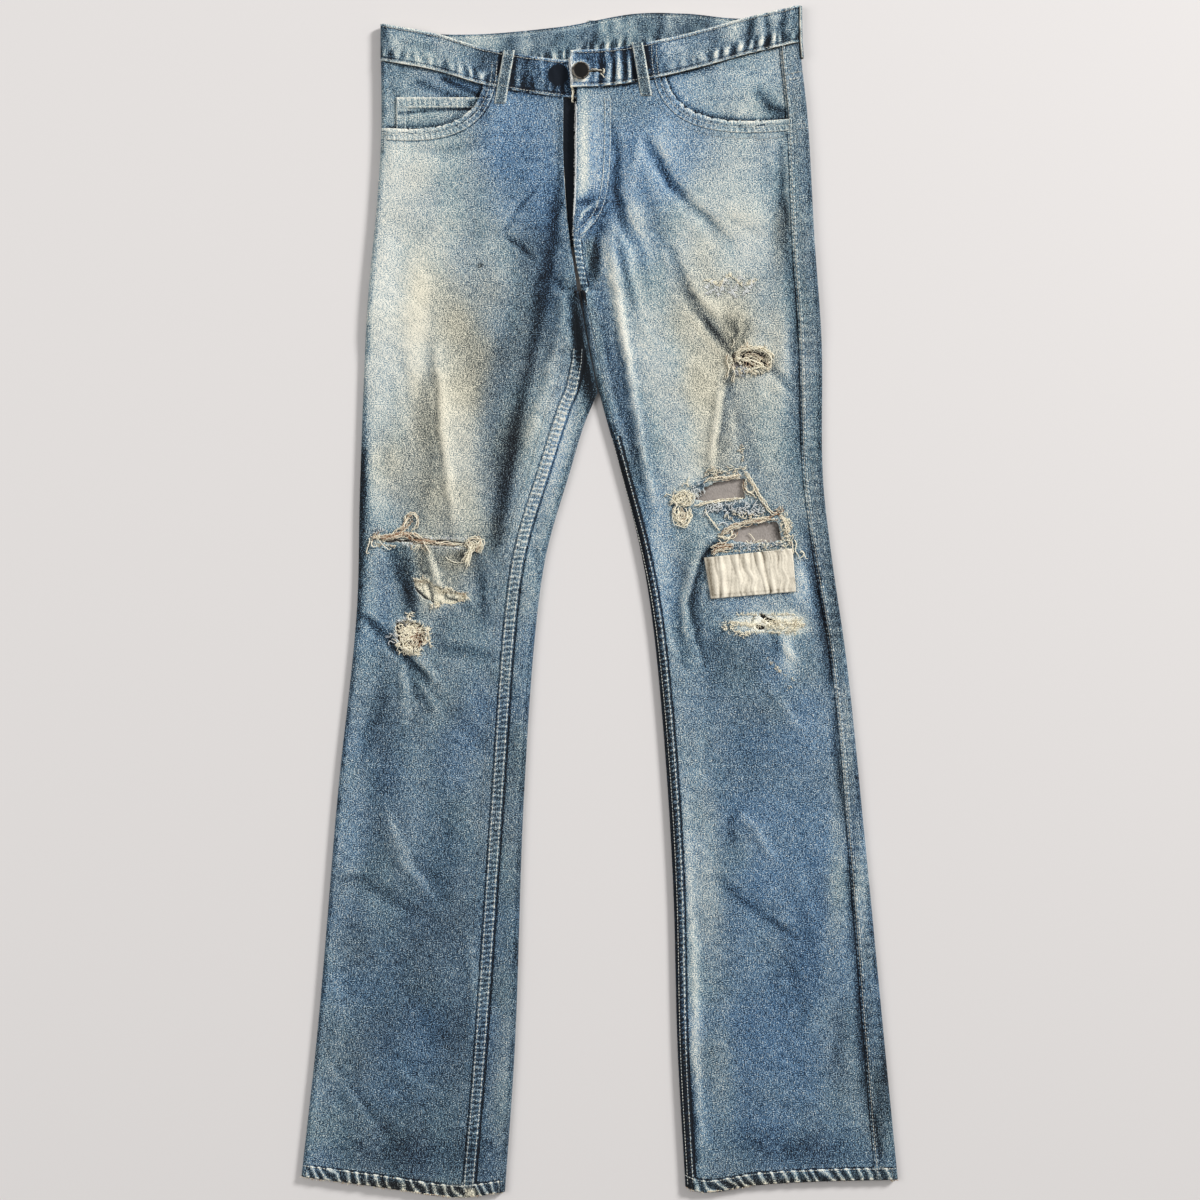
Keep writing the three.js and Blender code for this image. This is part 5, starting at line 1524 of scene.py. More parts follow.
def frontLoop(name, leg, x, lean, node):
    t, side = np.meshgrid(np.linspace(0, 1, 30), np.linspace(-0.5, 0.5, 9), indexing="ij")
    y = float(leg["waistSeam"](x)) - 14 + 51 * t
    px = x + lean * (t - 0.5) + 11 * side
    isLeft = leg is left
    section = np.full(np.shape(px), lie["bandSection"])
    onBand = topHeight(leg, px, section) + (overlapLift(px) if isLeft else 0) + 1.3
    onFront = topHeight(leg, px, np.minimum(y, leg["waistSeam"](px)))
    onFront = onFront + (flyLift(px, y) if isLeft else coinLift(px, y))
    bandShare = ease(10, 17, y - float(leg["waistSeam"](x)) + 14)
    z = lerp(onFront, np.maximum(onBand, onFront), bandShare) + 1.6
    z = z + 0.35 * np.abs(2 * side) ** 3 - 0.9 * np.abs(2 * side) ** 12
    z = z + 0.35 * lattice(px, y, 8, 96) - 0.8 * hump((t - 0.02) / 0.04)
    loopPiece(name, np.stack([px, y, z], -1), {
        "nodes": [node], "slot": "denim", "flat": (0.011, 0.052),
        "restsOn": ["waistband", "frontLeft" if isLeft else "frontRight"],
    })


frontLoop("beltLoopFrontRight", right, *frontLoops[0], "belt_loop_front_right")
frontLoop("beltLoopFrontLeft", left, *frontLoops[1], "belt_loop_front_left")

turn, y = np.meshgrid(np.radians(np.linspace(-50, 50, 11)), np.linspace(528, 578, 24))
radius = foldRadius(y)
reach = radius + 1.5
side = left["outer"](y) - radius
loopPiece("beltLoopSideLeft", np.stack([
    side + reach * np.cos(turn), y, seatLift(y) + radius + reach * np.sin(turn),
], -1), {
    "nodes": ["belt_loop_side_left"], "slot": "denim", "flat": (0.011, 0.05), "area": 0.0005,
    "restsOn": ["waistband"],
})
for name, node, x, top in (("beltLoopBackCentre", "belt_loop_back_centre", -5, 566),
        ("beltLoopBackRight", "belt_loop_back_right", -160, 551)):
    px, py = np.meshgrid(np.linspace(x + 5.5, x - 5.5, 7), np.linspace(top - 52, top, 20))
    loopPiece(name, np.stack([px, py, 0.02 + 0 * px], -1), {
        "nodes": [node], "slot": "denim", "flat": (0.011, 0.052), "restsOn": ["waistband"],
    })


def backPocket(name, node, x, top, lean):
    u, v = np.meshgrid(np.linspace(1, -1, 50), np.linspace(0, 1, 52))
    wide = lerp(66, 74, ease(0, 0.2, v) * v)
    px = x + u * wide
    foot = top - 166 + 26 * np.abs(u) + lean * u
    py = lerp(foot, top + lean * u, v)
    fromEdge = np.minimum(np.minimum((1 - np.abs(u)) * 70, (1 - v) * 150), v * 150)
    fields = {
        "across": np.clip((fromEdge - 4.4) / 4.2, -3, 3), "along": px + py, "pucker": 0.4 + 0 * px,
        "fade": 0.42 + 0.1 * lattice(px, py, 30, 97), "warm": -0.3 + 0 * px,
        "wear": 0.12 * hump(fromEdge / 2) + 0.05 * lattice(px, py, 9, 98),
    }
    clothPiece(name, np.stack([px, py, 0.02 + 0 * px], -1), fields,
        {"materials": ["denim", "denim", "rawEdge"]}, {
            "nodes": [node], "slot": "denim", "flat": (0.148, 0.17), "area": 0.0217,
            "restsOn": ["floor"],
        })


backPocket("backPocketRight", "back_pocket_right", -100, 452, -4)
backPocket("backPocketLeft", "back_pocket_left", 96, 462, 4)
print("pockets, patch and loops made")

# Torn cloth that shows in the middle rip of the right knee.
tongue = {"box": (-184, -125, -8, 26), "creases": [
    ([[-186, 20], [-176, 11], [-164, 0]], 1.7, 1.0), ([[-167, 22], [-162, 8], [-160, -8]], 1.3, 0.8),
    ([[-153, 14], [-147, 4], [-134, 1]], 1.1, 0.9), ([[-146, 12], [-140, 5]], 0.9, 0.7),
    ([[-154, 0], [-150, -6]], 1.4, 0.7), ([[-172, 18], [-169, 10]], 1.0, 0.5),
    ([[-170, 14], [-164, 4]], 1.5, -0.3), ([[-156, 10], [-152, 0]], 1.8, -0.35),
    ([[-146, 8], [-136, 5]], 1.3, -0.3),
]}


def tongueFolds(x, y, fields):
    lift = 0.5 * lattice(x, y, 6, 111)
    # The creases are painted darker as shade; the negative ones are painted paler, as ridges catching light.
    for line, wide, dark in tongue["creases"]:
        shape = hump(nearLine(line, x, y)[0] / wide)
        lift -= 1.3 * dark * shape
        fields["wear"] = fields["wear"] - dark * shape
    return lift


u, v = np.meshgrid(np.linspace(0, 1, 42), np.linspace(0, 1, 26))
west, east, south, north = tongue["box"]
layered("tornTongue", right, lerp(west, east, u), lerp(south, north, v), 1.5, [],
    {"materials": ["denim", "denim", "rawEdge"], "wall": 0.9},
    {"nodes": [], "slot": "denim", "flat": (0.06, 0.035),
        "restsOn": ["frontRight"]}, fade=(0.86, 0.9), extra=tongueFolds)


def coverOf(pieces):  # what to look down on when something is laid on top
    corners, sides = [], []
    for piece in pieces:
        first = len(corners)
        corners += [vertex.co.copy() for vertex in piece.data.vertices]
        sides += [[first + i for i in face.vertices] for face in piece.data.polygons]
    return BVHTree.FromPolygons(corners, sides)


laid = [piece for piece in bpy.context.scene.objects if piece.type == "MESH" and piece.data.materials
    and piece.data.materials[0] in (materials["denim"], materials["facing"],
        materials["patch"], materials["shield"])]
cover = coverOf(laid)


def coverHeight(x, y):
    found = np.zeros(len(x))
    for i, (px, py) in enumerate(zip(x, y)):
        hit = cover.ray_cast((px * mm, py * mm, 0.08), (0, 0, -1))[0]
        found[i] = hit[2] / mm if hit else 0.0
    return found


def lengthsOf(line):  # how far along it each of its points is
    return np.concatenate([[0], np.cumsum(np.hypot(*np.diff(line, axis=0).T))])


def evenly(line, pitch):  # points along a line, with the direction at each
    line = np.asarray(line, float)
    s = lengthsOf(line)
    marks = np.arange(pitch / 2, s[-1], pitch)
    at = np.stack([np.interp(marks, s, line[:, k]) for k in (0, 1)], 1)
    ahead = np.stack([np.interp(marks + 0.5, s, line[:, k]) for k in (0, 1)], 1)
    back = np.stack([np.interp(marks - 0.5, s, line[:, k]) for k in (0, 1)], 1)
    turn = np.arctan2(*(ahead - back).T[::-1])
    return at, turn


def tube(path, radius, sides=3):
    # A closed tube along a path, as vertices and faces.
    step = np.gradient(path, axis=0)
    step /= np.maximum(np.linalg.norm(step, axis=1), 1e-6)[:, None]
    across = np.stack([-step[:, 1], step[:, 0], 0 * step[:, 0]], 1)
    across /= np.maximum(np.linalg.norm(across, axis=1), 1e-6)[:, None]
    up = np.cross(step, across)
    rings = []
    for k in range(sides):
        a = 2 * math.pi * k / sides + math.pi / 2
        rings.append(path + radius[:, None] * (math.cos(a) * across + math.sin(a) * up))
    vertices = np.stack(rings, 1).reshape(-1, 3)
    faces = []
    for i in range(len(path) - 1):
        for k in range(sides):
            a, b = i * sides + k, i * sides + (k + 1) % sides
            faces.append([a, b, b + sides, a + sides])
    return vertices, faces + [list(range(sides))[::-1],
        [len(vertices) - sides + k for k in range(sides)]]


class Strands:  # many stitches or yarns gathered in one mesh
    def __init__(self, name, kinds):
        self.name, self.kinds = name, kinds
        self.vertices, self.faces, self.tones, self.markers, self.count = [], [], [], [], 0

    def lay(self, path, radius, tone, kind=0):
        radius = np.broadcast_to(radius, len(path))
        vertices, faces = tube(path, radius)
        self.vertices.append(vertices)
        self.faces += [[self.count + i for i in face] for face in faces]
        self.tones.append(np.full(len(vertices), tone))
        self.markers += [kind] * len(faces)
        self.count += len(vertices)

    def finish(self):
        vertices = np.concatenate(self.vertices)
        vertices[:, 2] = np.maximum(vertices[:, 2], 0.05)
        tones = {"tone": np.concatenate(self.tones)}
        piece = meshFrom(self.name, vertices, self.faces, tones, self.kinds)
        piece.data.polygons.foreach_set("material_index", self.markers)
        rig.ride(piece, "root")
        print(self.name, sum(len(f) - 2 for f in self.faces), "triangles")


stitchLook = {"pitch": 3.1, "length": 2.4, "radius": 0.42, "sink": 0.12}


def stitchAlong(strands, line, tone=0.55):
    at, turn = evenly(line, stitchLook["pitch"])
    turn = turn + draw.normal(0, 0.06, len(turn))
    half = stitchLook["length"] / 2 * draw.uniform(0.85, 1.1, len(turn))
    ahead = np.stack([np.cos(turn), np.sin(turn)], 1) * half[:, None]
    ends = [at - ahead, at, at + ahead]
    z = [coverHeight(*end.T) for end in ends]
    for i in range(len(at)):
        if min(h[i] for h in z) < 3:  # off the garment's edge
            continue
        path = np.array([[*ends[k][i], z[k][i]] for k in range(3)])
        path[:, 2] += np.array([-1, 1, -1]) * stitchLook["sink"] + 0.06
        radius = stitchLook["radius"] * np.array([0.7, 1, 0.7])
        strands.lay(path, radius, tone + draw.uniform(-0.25, 0.25))


topstitching = Strands("topstitching", ["seamThread"])
shown = ["inseamRight", "inseamLeft", "outseamLeft", "fly", "scoopRight", "scoopLeft", "hemRight",
    "hemLeft", "coinTop", "coinSide", "yokeCorner"]
for name in shown:
    line, half, _, shadowSide, _, rows = seams[name]
    for row in rows:
        stitchAlong(topstitching, offsetLine(line, -row * half * (shadowSide or 1)))
for leg, start, end in ((right, -210, -34), (left, -20, 190)):
    for rise in (2.4, 33.4):
        stitchAlong(topstitching, acrossLine(leg["waistSeam"], start, end, rise))
topstitching.finish()
print("stitches made")


def strand(strands, start, turn, length, bend, lift, tone, kind, radius=0.42, drop=1.5):
    # One loose yarn: it wanders from its start, crimped by the weave it came out of.
    n = max(5, int(length / 1.3))
    bends = np.convolve(draw.normal(0, bend, n + 4), np.ones(5) / 2.2, "valid")
    heading = turn + np.cumsum(bends)
    pace = length / n
    steps = pace * np.stack([np.cos(heading), np.sin(heading)], 1)
    xy = np.array(start) + np.concatenate([[[0, 0]], np.cumsum(steps, 0)])[:n]
    s = np.linspace(0, 1, n)
    z = coverHeight(*xy.T)
    z = np.maximum(z, z[0] - drop) + radius * 0.8 + lift * np.sin(math.pi * s) * draw.uniform(0.4, 1)
    strands.lay(np.column_stack([xy, z]), radius * np.where((s > 0) & (s < 1), 1, 0.6),
        tone + draw.uniform(-0.36, 0.36), kind)


def bundle(strands, line, count, spread, tone, kind, lift=2.2, radius=0.52):
    # Yarns that run together along a line.
    line = np.asarray(line, float)
    s = lengthsOf(line)
    n = max(6, int(s[-1] / 1.7))
    smooth = [through(list(zip(s, line[:, k]))) for k in (0, 1)]
    for _ in range(round(0.66 * count)):
        a, b = draw.uniform(0, 0.12), 1 - draw.uniform(0, 0.2)
        marks = np.linspace(a, b, n) * s[-1]
        away = draw.normal(0, spread * 0.55) + np.convolve(
            draw.normal(0, spread * 0.55, n + 4), np.ones(5) / 2.6, "valid")
        away = away + 0.35 * np.cos(marks * 2 * math.pi / 3.4 + draw.uniform(0, 6))
        x, y = smooth[0](marks), smooth[1](marks)
        step = np.stack([np.gradient(x), np.gradient(y)], 1)
        step /= np.linalg.norm(step, axis=1)[:, None]
        x, y = x - away * step[:, 1], y + away * step[:, 0]
        z = coverHeight(x, y)
        z = np.maximum(z, np.median(z) - 1.2) + radius + draw.uniform(0, lift)
        strands.lay(np.column_stack([x, y, z]), radius, tone + draw.uniform(-0.4, 0.5), kind)


def tangle(strands, x, y, wide, high, count, length, tone, kind, lift=2.0, bend=0.55):
    for _ in range(count):
        a, r = draw.uniform(0, 2 * math.pi), math.sqrt(draw.uniform(0, 1))
        strand(strands, (x + wide * r * math.cos(a), y + high * r * math.sin(a)),
            draw.uniform(0, 2 * math.pi), length * draw.uniform(0.6, 1.3), bend, lift, tone, kind)


def fringe(strands, line, count, length, turn, tone, kind, lift=0.5, spread=35):
    # Yarn ends that stick out of a torn edge.
    line = np.asarray(line, float)
    s = lengthsOf(line)
    for mark in draw.uniform(0, s[-1], count):
        at = [float(np.interp(mark, s, line[:, k])) for k in (0, 1)]
        strand(strands, at, math.radians(turn + draw.normal(0, spread)),
            length * draw.uniform(0.5, 1.4), 0.3, lift, tone, kind, 0.32)


# What has come loose where: bundles are (line, how many, spread, tone, kind), tangles are
# (x, y, half width, half height, how many, length, tone, kind), and fringes are (line, how
# many, length, direction in degrees, tone, kind). Tone runs from rusty to cream; kind 1 is blue.
loose = {
    "frayRightKnee": {
        "bundles": [
            ([[-222, 64], [-208, 63], [-196, 64], [-186, 67], [-178, 66], [-170, 61], [-158, 58],
                [-145, 57], [-130, 56]], 6, 1.3, 0.65, 0),
            ([[-214, 62], [-203, 63], [-194, 68], [-188, 74], [-184, 80], [-180, 83]], 12, 2.6, 0.6, 0),
            ([[-212, 61], [-200, 63], [-188, 66], [-178, 60], [-165, 59], [-155, 57]], 10, 2.0, 0.6, 0),
            ([[-194, 69], [-188, 77], [-184, 85], [-179, 86], [-176, 80], [-178, 72],
                [-184, 70]], 5, 1.4, 0.7, 0),
            ([[-190, 72], [-187, 80], [-189, 84]], 4, 0.9, 0.7, 0),
            ([[-170, 60], [-155, 57.5], [-140, 56], [-128, 56.5]], 5, 0.8, 0.8, 0),
            ([[-128, 52], [-126, 60], [-119, 63], [-113, 61], [-114, 55], [-118, 51],
                [-118, 47]], 9, 2.8, 0.8, 0),
            ([[-120, 60], [-123, 52], [-126, 42], [-128, 33]], 7, 2.0, 0.9, 0),
            ([[-114, 59], [-121, 52], [-130, 44]], 6, 2.0, 0.8, 0),
            ([[-127, 58], [-125, 51], [-129, 43], [-132, 38]], 7, 1.3, 0.75, 0),
            ([[-122, 60], [-124, 50], [-126, 42], [-129, 32]], 3, 0.9, 0.8, 0),
            ([[-150, 46], [-146, 41], [-138, 38], [-131, 38], [-126, 43], [-123, 48]], 2, 0.5, 0.9, 0),
            ([[-126, 60], [-118, 56], [-112, 58], [-114, 51], [-120, 48]], 6, 2.6, 0.8, 0),
            ([[-223, 64], [-222, 58], [-224, 52], [-225, 47], [-222, 48]], 3, 0.6, 0.85, 0),
            ([[-219, 60], [-220, 55], [-216, 53], [-214, 56]], 3, 0.5, 0.85, 0),
            ([[-213, 60], [-208, 55], [-203, 51], [-199, 54]], 2, 0.4, 0.85, 0),
            ([[-172, 60], [-166, 52], [-162, 44]], 3, 0.8, 0.8, 0),
        ],
        "tangles": [
            (-214, 63, 7, 3, 24, 6, 0.7, 0), (-213, 68, 6, 3, 14, 5, 0.5, 1),
            (-186, 57, 6, 3, 14, 5, 0.6, 1), (-131, 4, 5, 4, 22, 5, 0.75, 0),
            (-177, -36, 8, 8, 60, 9, 0.5, 0), (-188, -38, 8, 7, 60, 9, 0.8, 0),
            (-184, -26, 11, 6, 110, 10, 0.95, 0), (-190, -18, 8, 3, 20, 5, 0.6, 1),
            (-182, -46, 9, 4, 50, 7, 0.95, 0), (-169, -33, 3, 8, 30, 6, 0.9, 0),
            (-150, 11, 10, 2.5, 34, 4, 0.9, 0), (-172, 21, 7, 2, 26, 4, 0.9, 0),
            (-158, -4, 6, 2, 20, 4, 0.9, 0),
            (-200, -35, 5, 5, 22, 6, 0.7, 1), (-184, -14, 4, 4, 14, 5, 0.9, 0),
        ],
        "fringes": [
            ([[-216, 57], [-196, 55]], 22, 4, -90, 0.8, 0),
            ([[-182, 57], [-166, 53]], 16, 7, -88, 0.75, 0),
            ([[-170, 61], [-124, 60]], 40, 3.5, 80, 0.8, 1),
            ([[-170, 55], [-128, 52]], 30, 3, -90, 0.7, 1),
            ([[-179, 24], [-166, 20]], 20, 4.5, -80, 0.7, 0),
            ([[-152, 13], [-128, 8]], 26, 4, -60, 0.75, 0),
            ([[-158, -4], [-134, 0]], 16, 3, 80, 0.7, 0),
            ([[-194, -47], [-170, -50]], 34, 5, -70, 0.95, 0),
            ([[-168, -24], [-164, -44]], 30, 5, 0, 0.95, 0),
        ],
    },
    "frayLeftThigh": {
        "bundles": [
            ([[132, 241], [140, 244], [150, 245.5], [160, 244], [167, 238], [168, 230]],
                13, 2.2, 0.9, 0),
            ([[141, 240], [150, 241], [158, 238], [163, 233]], 6, 1.6, 0.9, 0),
            ([[133, 238], [142, 236], [152, 236], [160, 231], [164, 226]], 8, 1.8, 0.95, 0),
            ([[140, 236], [148, 233], [156, 229], [162, 226]], 6, 1.6, 0.9, 0),
            ([[126, 242], [125, 234], [127, 226], [124, 218], [125, 214]], 5, 1.2, 0.7, 0),
            ([[130, 230], [132, 222], [130, 215], [133, 211]], 4, 0.9, 0.7, 0),
            ([[129, 246], [132, 252], [130, 258]], 2, 0.6, 0.7, 0),
            ([[142, 257], [144, 251], [150, 249]], 2, 0.6, 0.8, 0),
        ],
        "tangles": [
            (150, 225, 15, 4, 54, 6, 0.8, 0), (138, 225, 8, 4, 26, 5, 0.6, 1),
            (148, 236, 14, 6, 12, 12, 0.5, 0), (156, 240, 9, 4, 12, 9, 1.0, 0),
            (134, 238, 5, 6, 26, 8, 0.85, 0),
            (165, 231, 4, 6, 30, 6, 0.8, 0), (140, 145, 2.5, 8, 16, 4, 0.7, 0),
        ],
        "fringes": [
            ([[138, 247], [162, 247]], 34, 3.5, 85, 0.75, 0),
            ([[103, 304], [110, 314], [116, 298], [124, 316], [130, 300], [138, 318],
                [144, 300], [150, 315], [157, 304]], 190, 4.2, -84, 1.3, 1),
            ([[105, 312], [118, 306], [128, 317], [140, 306], [154, 312]], 90, 5.0, 92, 1.5, 0),
            ([[100, 298], [118, 308], [136, 296], [150, 310]], 70, 4, -80, 1.0, 1),
            ([[172, -60], [178, -70], [190, -74], [184, -86]], 16, 3.4, -60, 0.95, 0),
            ([[164, -52], [170, -64], [178, -66]], 10, 3.4, -60, 0.95, 0),
        ],
    },
    "frayLeftKnee": {
        "bundles": [
            ([[110, 119.5], [122, 120.5], [132, 121.5], [142, 123]], 10, 1.5, 0.85, 0),
            ([[102, 115], [110, 119], [118, 120]], 5, 1.3, 0.75, 0),
            ([[142, 125], [148, 118], [152, 111], [156, 104], [160, 96], [166, 89],
                [173, 85]], 9, 2.0, 0.75, 0),
            ([[142, 120], [141, 112], [144, 106], [149, 104], [153, 100]], 7, 1.4, 0.65, 0),
            ([[146, 117], [150, 112], [149, 107], [144, 108]], 3, 0.8, 0.7, 0),
            ([[70, 99], [76, 94], [73, 88], [77, 84]], 5, 1.2, 0.85, 0),
            ([[74, 96], [75, 104], [83, 108], [91, 104], [91, 97], [84, 93], [76, 94]],
                15, 3.2, 1.0, 0),
            ([[78, 92], [75, 85], [77, 78], [83, 75], [88, 81], [87, 89], [84, 93]], 10, 2.8, 1.0, 0),
            ([[80, 92], [83, 84], [80, 76]], 6, 2.0, 0.6, 0),
            ([[80, 88], [79, 82], [83, 80], [85, 85], [82, 89]], 8, 1.2, 0.9, 0),
            ([[71, 103], [66, 105], [64, 101]], 3, 0.6, 1.0, 0),
            ([[89, 122], [87, 116], [90, 110]], 2, 0.4, 0.9, 0),
            ([[80, 111], [83, 115], [87, 113], [86, 109]], 2, 0.4, 0.9, 0),
            ([[92, 93], [100, 95], [108, 97], [118, 98.5], [130, 100], [142, 101]], 9, 1.0, 0.62, 0),
            ([[103, 90], [108, 82], [113, 75], [118, 69]], 3, 0.9, 0.95, 0),
            ([[117, 63], [122, 67], [130, 72], [142, 76], [154, 78.5], [166, 81],
                [175, 83.5]], 18, 2.2, 0.68, 0),
            ([[115, 62], [124, 61], [131, 64], [132, 70]], 10, 2.2, 0.68, 0),
            ([[116, 73], [119, 77], [124, 76], [125, 72]], 3, 0.6, 0.5, 1),
            ([[176, 84], [181, 80], [184, 73], [186, 66]], 8, 1.8, 0.8, 0),
            ([[142, 62], [146, 57], [152, 57], [157, 60], [164, 59]], 2, 0.5, 0.9, 0),
            ([[146, 67], [150, 64], [152, 60], [150, 57]], 2, 0.5, 0.9, 0),
            ([[109, 50], [116, 53], [124, 55], [132, 54]], 12, 2.4, 0.5, 0),
            ([[111, 45], [115, 49], [122, 51], [130, 50]], 9, 1.8, 0.6, 0),
            ([[190, 61], [192, 56], [191, 50], [194, 45], [195, 42]], 3, 0.7, 0.9, 0),
            ([[194, 48], [199, 48], [201, 43], [204, 41]], 2, 0.5, 0.9, 0),
            ([[196, 51], [199, 47], [195, 43], [193, 46]], 2, 0.5, 0.9, 0),
            ([[188, 60], [189, 52], [190, 46]], 3, 0.6, 0.9, 0),
        ],
        "tangles": [
            (81, 101, 9, 6, 60, 8, 1.0, 0), (81, 84, 5, 6, 44, 7, 0.95, 0),
            (97, 108, 8, 6, 26, 6, 0.9, 1), (112, 125, 9, 5, 24, 7, 0.75, 0),
            (134, 127, 11, 4, 20, 6, 0.7, 0), (112, 91, 10, 5, 34, 7, 0.9, 1),
            (132, 92, 12, 6, 44, 7, 0.9, 1), (152, 90, 10, 7, 40, 7, 0.9, 1),
            (140, 83, 20, 4, 30, 6, 0.85, 0), (181, 76, 5, 8, 44, 6, 0.85, 0),
            (185, 63, 5, 6, 30, 6, 0.8, 0), (160, 55, 30, 3, 50, 5, 0.8, 1),
            (168, 55, 18, 3, 26, 5, 0.85, 0), (174, 87, 6, 4, 24, 5, 0.5, 0),
            (126, -24, 6, 5, 24, 5, 0.95, 0), (140, -31, 8, 3, 20, 5, 0.9, 0),
            (196, -21, 7, 5, 26, 5, 0.95, 0), (178, -24, 16, 7, 60, 5, 0.95, 0),
        ],
        "fringes": [
            ([[118, 48], [190, 51.5]], 60, 2.2, 90, 0.9, 0),
            ([[132, -13], [192, -13]], 60, 3.4, 70, 0.95, 0),
            ([[126, -18], [158, -22]], 70, 5.5, -95, 0.9, 0),
            ([[130, -28], [194, -29]], 60, 4.0, -80, 0.95, 0),
            ([[158, -17], [192, -22]], 70, 5.0, -20, 1.0, 0),
        ],
    },
    "frayEdges": {
        "bundles": [
            ([[-27.5, 528], [-26.5, 515], [-25.5, 500]], 12, 0.9, 1.1, 1),
            ([[-21.5, 490], [-22, 450], [-22.5, 400], [-24.5, 354]], 6, 0.5, 1.1, 1),
            ([[-25.5, 500], [-24, 496], [-25, 490], [-24, 484]], 5, 1.0, 0.9, 0),
            ([[-8, 514.4], [-2, 514.6], [4, 514.4]], 8, 0.8, 1.0, 0),
            ([[4.5, 517], [5.5, 514], [4.5, 511.5]], 5, 0.6, 1.0, 0),
            ([[2, 512], [5, 509], [7, 507]], 2, 0.5, 0.9, 0),
        ],
        "tangles": [],
        "fringes": [
            ([[-27.5, 528], [-25.5, 499]], 44, 2.0, 180, 1.0, 1),
            ([[-22, 490], [-22.5, 400], [-24.5, 352]], 110, 1.8, 180, 1.0, 1),
            ([[-289, -558], [-213, -568], [-135, -578], [-92, -573]], 170, 2.6, -90, 0.6, 0),
            ([[85, -568], [97, -573], [156, -566], [220, -562.5], [290, -561]], 170, 2.6, -90, 0.6, 0),
        ],
    },
}
for name, found in loose.items():
    strands = Strands(name, ["looseYarn", "blueYarn"])
    for line, count, spread, tone, kind in found["bundles"]:
        bundle(strands, line, count, spread, tone, kind)
    for x, y, wide, high, count, length, tone, kind in found["tangles"]:
        tangle(strands, x, y, wide, high, count, length, tone, kind)
    for line, count, length, turn, tone, kind in found["fringes"]:
        fringe(strands, line, count, length, turn, tone, kind)
    strands.finish()
print("loose yarns made")

buttonLook = {
    "place": (-17, 514), "foot": 8.3, "stem": 2.0, "stemHeight": 5.4, "head": 8.4,
    "rim": 1.3, "headHeight": 2.4, "hollow": 0.5,
}


def pickFaces(piece, test):
    bpy.ops.object.mode_set(mode="OBJECT")
    for group in (piece.data.vertices, piece.data.edges, piece.data.polygons):
        group.foreach_set("select", np.zeros(len(group), bool))
    for face in piece.data.polygons:
        face.select = bool(test(face))
    bpy.ops.object.mode_set(mode="EDIT")
    bpy.ops.mesh.select_mode(type="FACE")


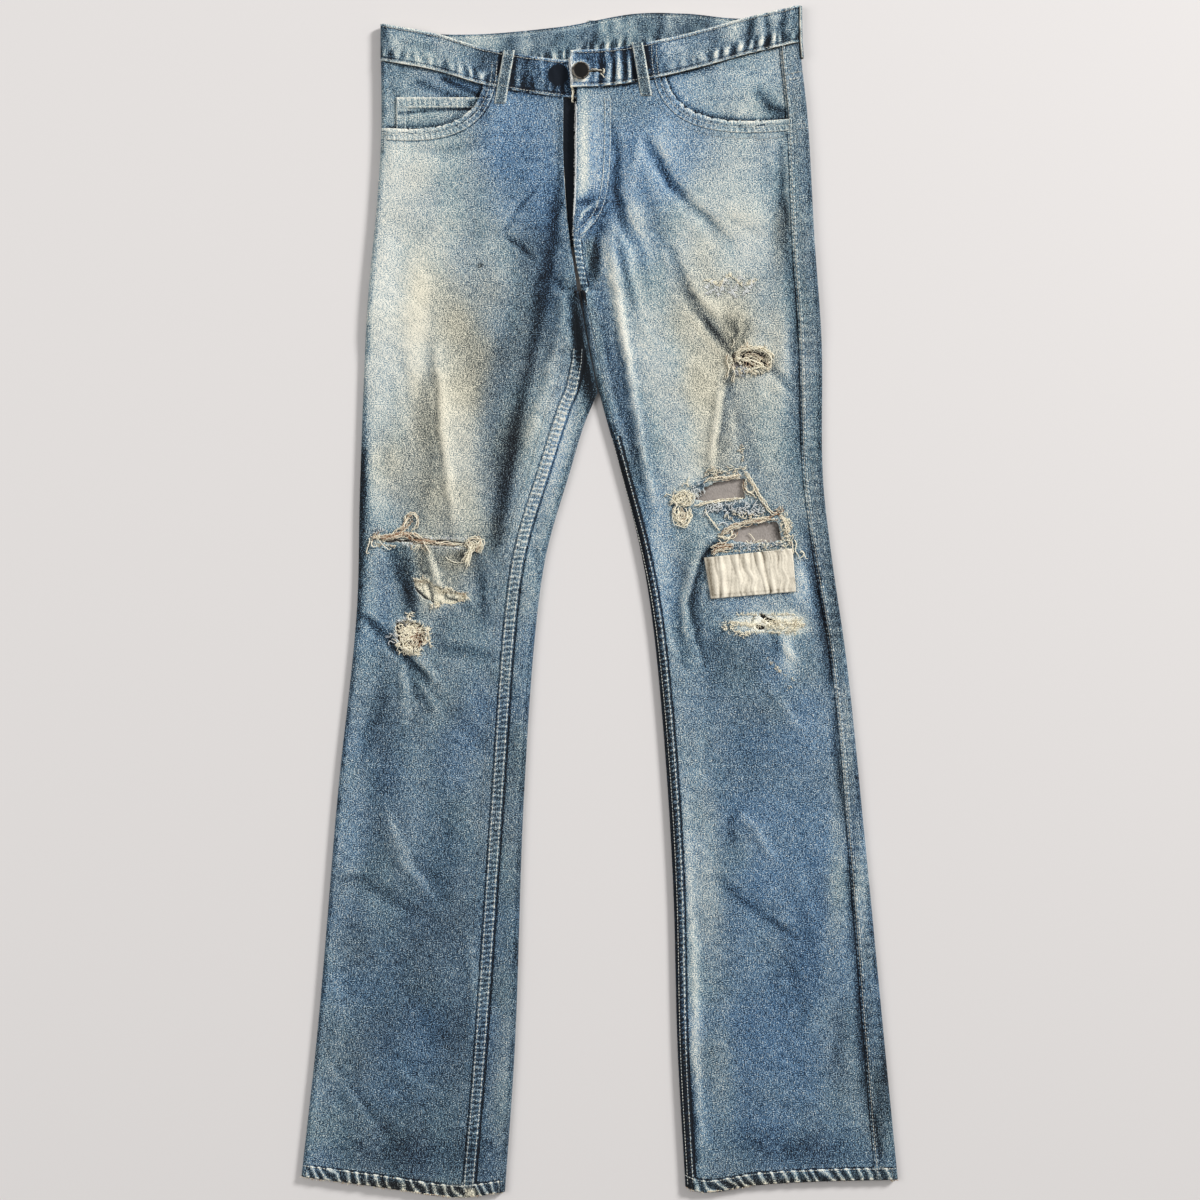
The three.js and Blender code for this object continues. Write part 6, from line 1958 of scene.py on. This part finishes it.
def shankButton():
    b = buttonLook
    x, y = b["place"]
    bpy.ops.object.select_all(action="DESELECT")
    middle = b["foot"] + b["stemHeight"] + b["headHeight"] / 2
    bpy.ops.mesh.primitive_cylinder_add(
        vertices=48, radius=b["head"] * mm, depth=b["headHeight"] * mm,
        location=(x * mm, y * mm, middle * mm))
    piece = bpy.context.object
    piece.name = "shankButton"
    bpy.ops.object.transform_apply(location=True)
    pickFaces(piece, lambda face: face.normal.z > 0.9)
    bpy.ops.mesh.inset(thickness=b["rim"] * mm)
    bpy.ops.mesh.inset(thickness=0.5 * mm)
    bpy.ops.transform.translate(value=(0, 0, -b["hollow"] * mm))
    bpy.ops.mesh.inset(thickness=3.0 * mm)
    bpy.ops.transform.translate(value=(0, 0, 0.35 * mm))
    bpy.ops.mesh.inset(thickness=2.2 * mm)
    bpy.ops.transform.translate(value=(0, 0, 0.1 * mm))
    pickFaces(piece, lambda face: face.normal.z < -0.9)
    bpy.ops.mesh.inset(thickness=(b["head"] - b["stem"]) * mm)
    bpy.ops.mesh.extrude_region_move(TRANSFORM_OT_translate={"value": (0, 0, -b["stemHeight"] * mm)})
    bpy.ops.object.mode_set(mode="OBJECT")
    modifier = piece.modifiers.new("soft edges", "BEVEL")
    modifier.width, modifier.segments, modifier.limit_method = 0.45 * mm, 3, "ANGLE"
    bpy.ops.object.modifier_apply(modifier=modifier.name)
    bpy.ops.object.shade_smooth_by_angle(angle=math.radians(40))
    r = Recipe("worn black metal")
    place = r.add("ShaderNodeTexCoord", out="Object")
    centred = r.add("ShaderNodeMapping", {}, {
        "Vector": place, "Location": (-x * mm, -y * mm, 0), "Scale": (1, 1, 0)})
    reach = r.add("ShaderNodeVectorMath", {"operation": "LENGTH"}, {0: centred}, out="Value")
    spots = r.add("ShaderNodeTexNoise", {}, {"Vector": place, "Scale": 900.0, "Detail": 3.0})
    worn = r.bell(reach, (b["head"] - 0.5) * mm, 0.0006) * r.smooth(spots, 0.35, 0.6)
    base = r.mixed(worn, colour(26, 25, 23), colour(150, 142, 128))
    piece.data.materials.append(r.surface(
        Base_Color=base, Metallic=0.6, Roughness=0.34 + spots * 0.3,
        Normal=r.bump(spots, 0.15, 0.0002)))
    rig.ride(piece, "root")
    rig.replaces(piece, "button")
    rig.slot(piece, "black_metal")


shankButton()
print("button made")

floorLook = Recipe("studio floor")
bpy.ops.object.select_all(action="DESELECT")
bpy.ops.mesh.primitive_plane_add(size=8, location=(0, 0, -0.0003))
floor = bpy.context.object
floor.name = "floor"
floor.data.materials.append(floorLook.surface(Base_Color=colour(220, 216, 214), Roughness=0.9))
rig.stage(floor)

studio = {
    "key": {"place": (4.2, 3.4, 3.1), "size": 1.3, "power": 400},
    "fill": {"place": (-2.8, 0.2, 3.0), "size": 2.4, "power": 60},
    "sky": 0.3,  # how bright the room is from every side
}
for name in ("key", "fill"):
    spec = studio[name]
    lamp = bpy.data.lights.new(name, "AREA")
    lamp.energy, lamp.size = spec["power"], spec["size"]
    holder = bpy.data.objects.new(name, lamp)
    bpy.context.scene.collection.objects.link(holder)
    holder.location = spec["place"]
    aim = -holder.location
    holder.rotation_euler = aim.to_track_quat("-Z", "Y").to_euler()
world = bpy.data.worlds.new("soft room")
bpy.context.scene.world = world
world.use_nodes = True
world.node_tree.nodes["Background"].inputs["Color"].default_value = (1, 1, 1, 1)
world.node_tree.nodes["Background"].inputs["Strength"].default_value = studio["sky"]
bpy.context.scene.view_settings.view_transform = "Standard"

view = {"place": (0.0015, 0.0019, 2.0), "sensor": 36, "focal": 61.6}
lens = bpy.data.cameras.new("overhead")
lens.sensor_width, lens.lens = view["sensor"], view["focal"]
camera = bpy.data.objects.new("overhead", lens)
bpy.context.scene.collection.objects.link(camera)
camera.location = view["place"]
bpy.context.scene.camera = camera

size = {name: [list(corner) for corner in box]
    for name, box in (("cad", cadBox), ("visual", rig.bounds()))}
with open("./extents.json", "w") as file:
    json.dump(size, file)
print("scene made")
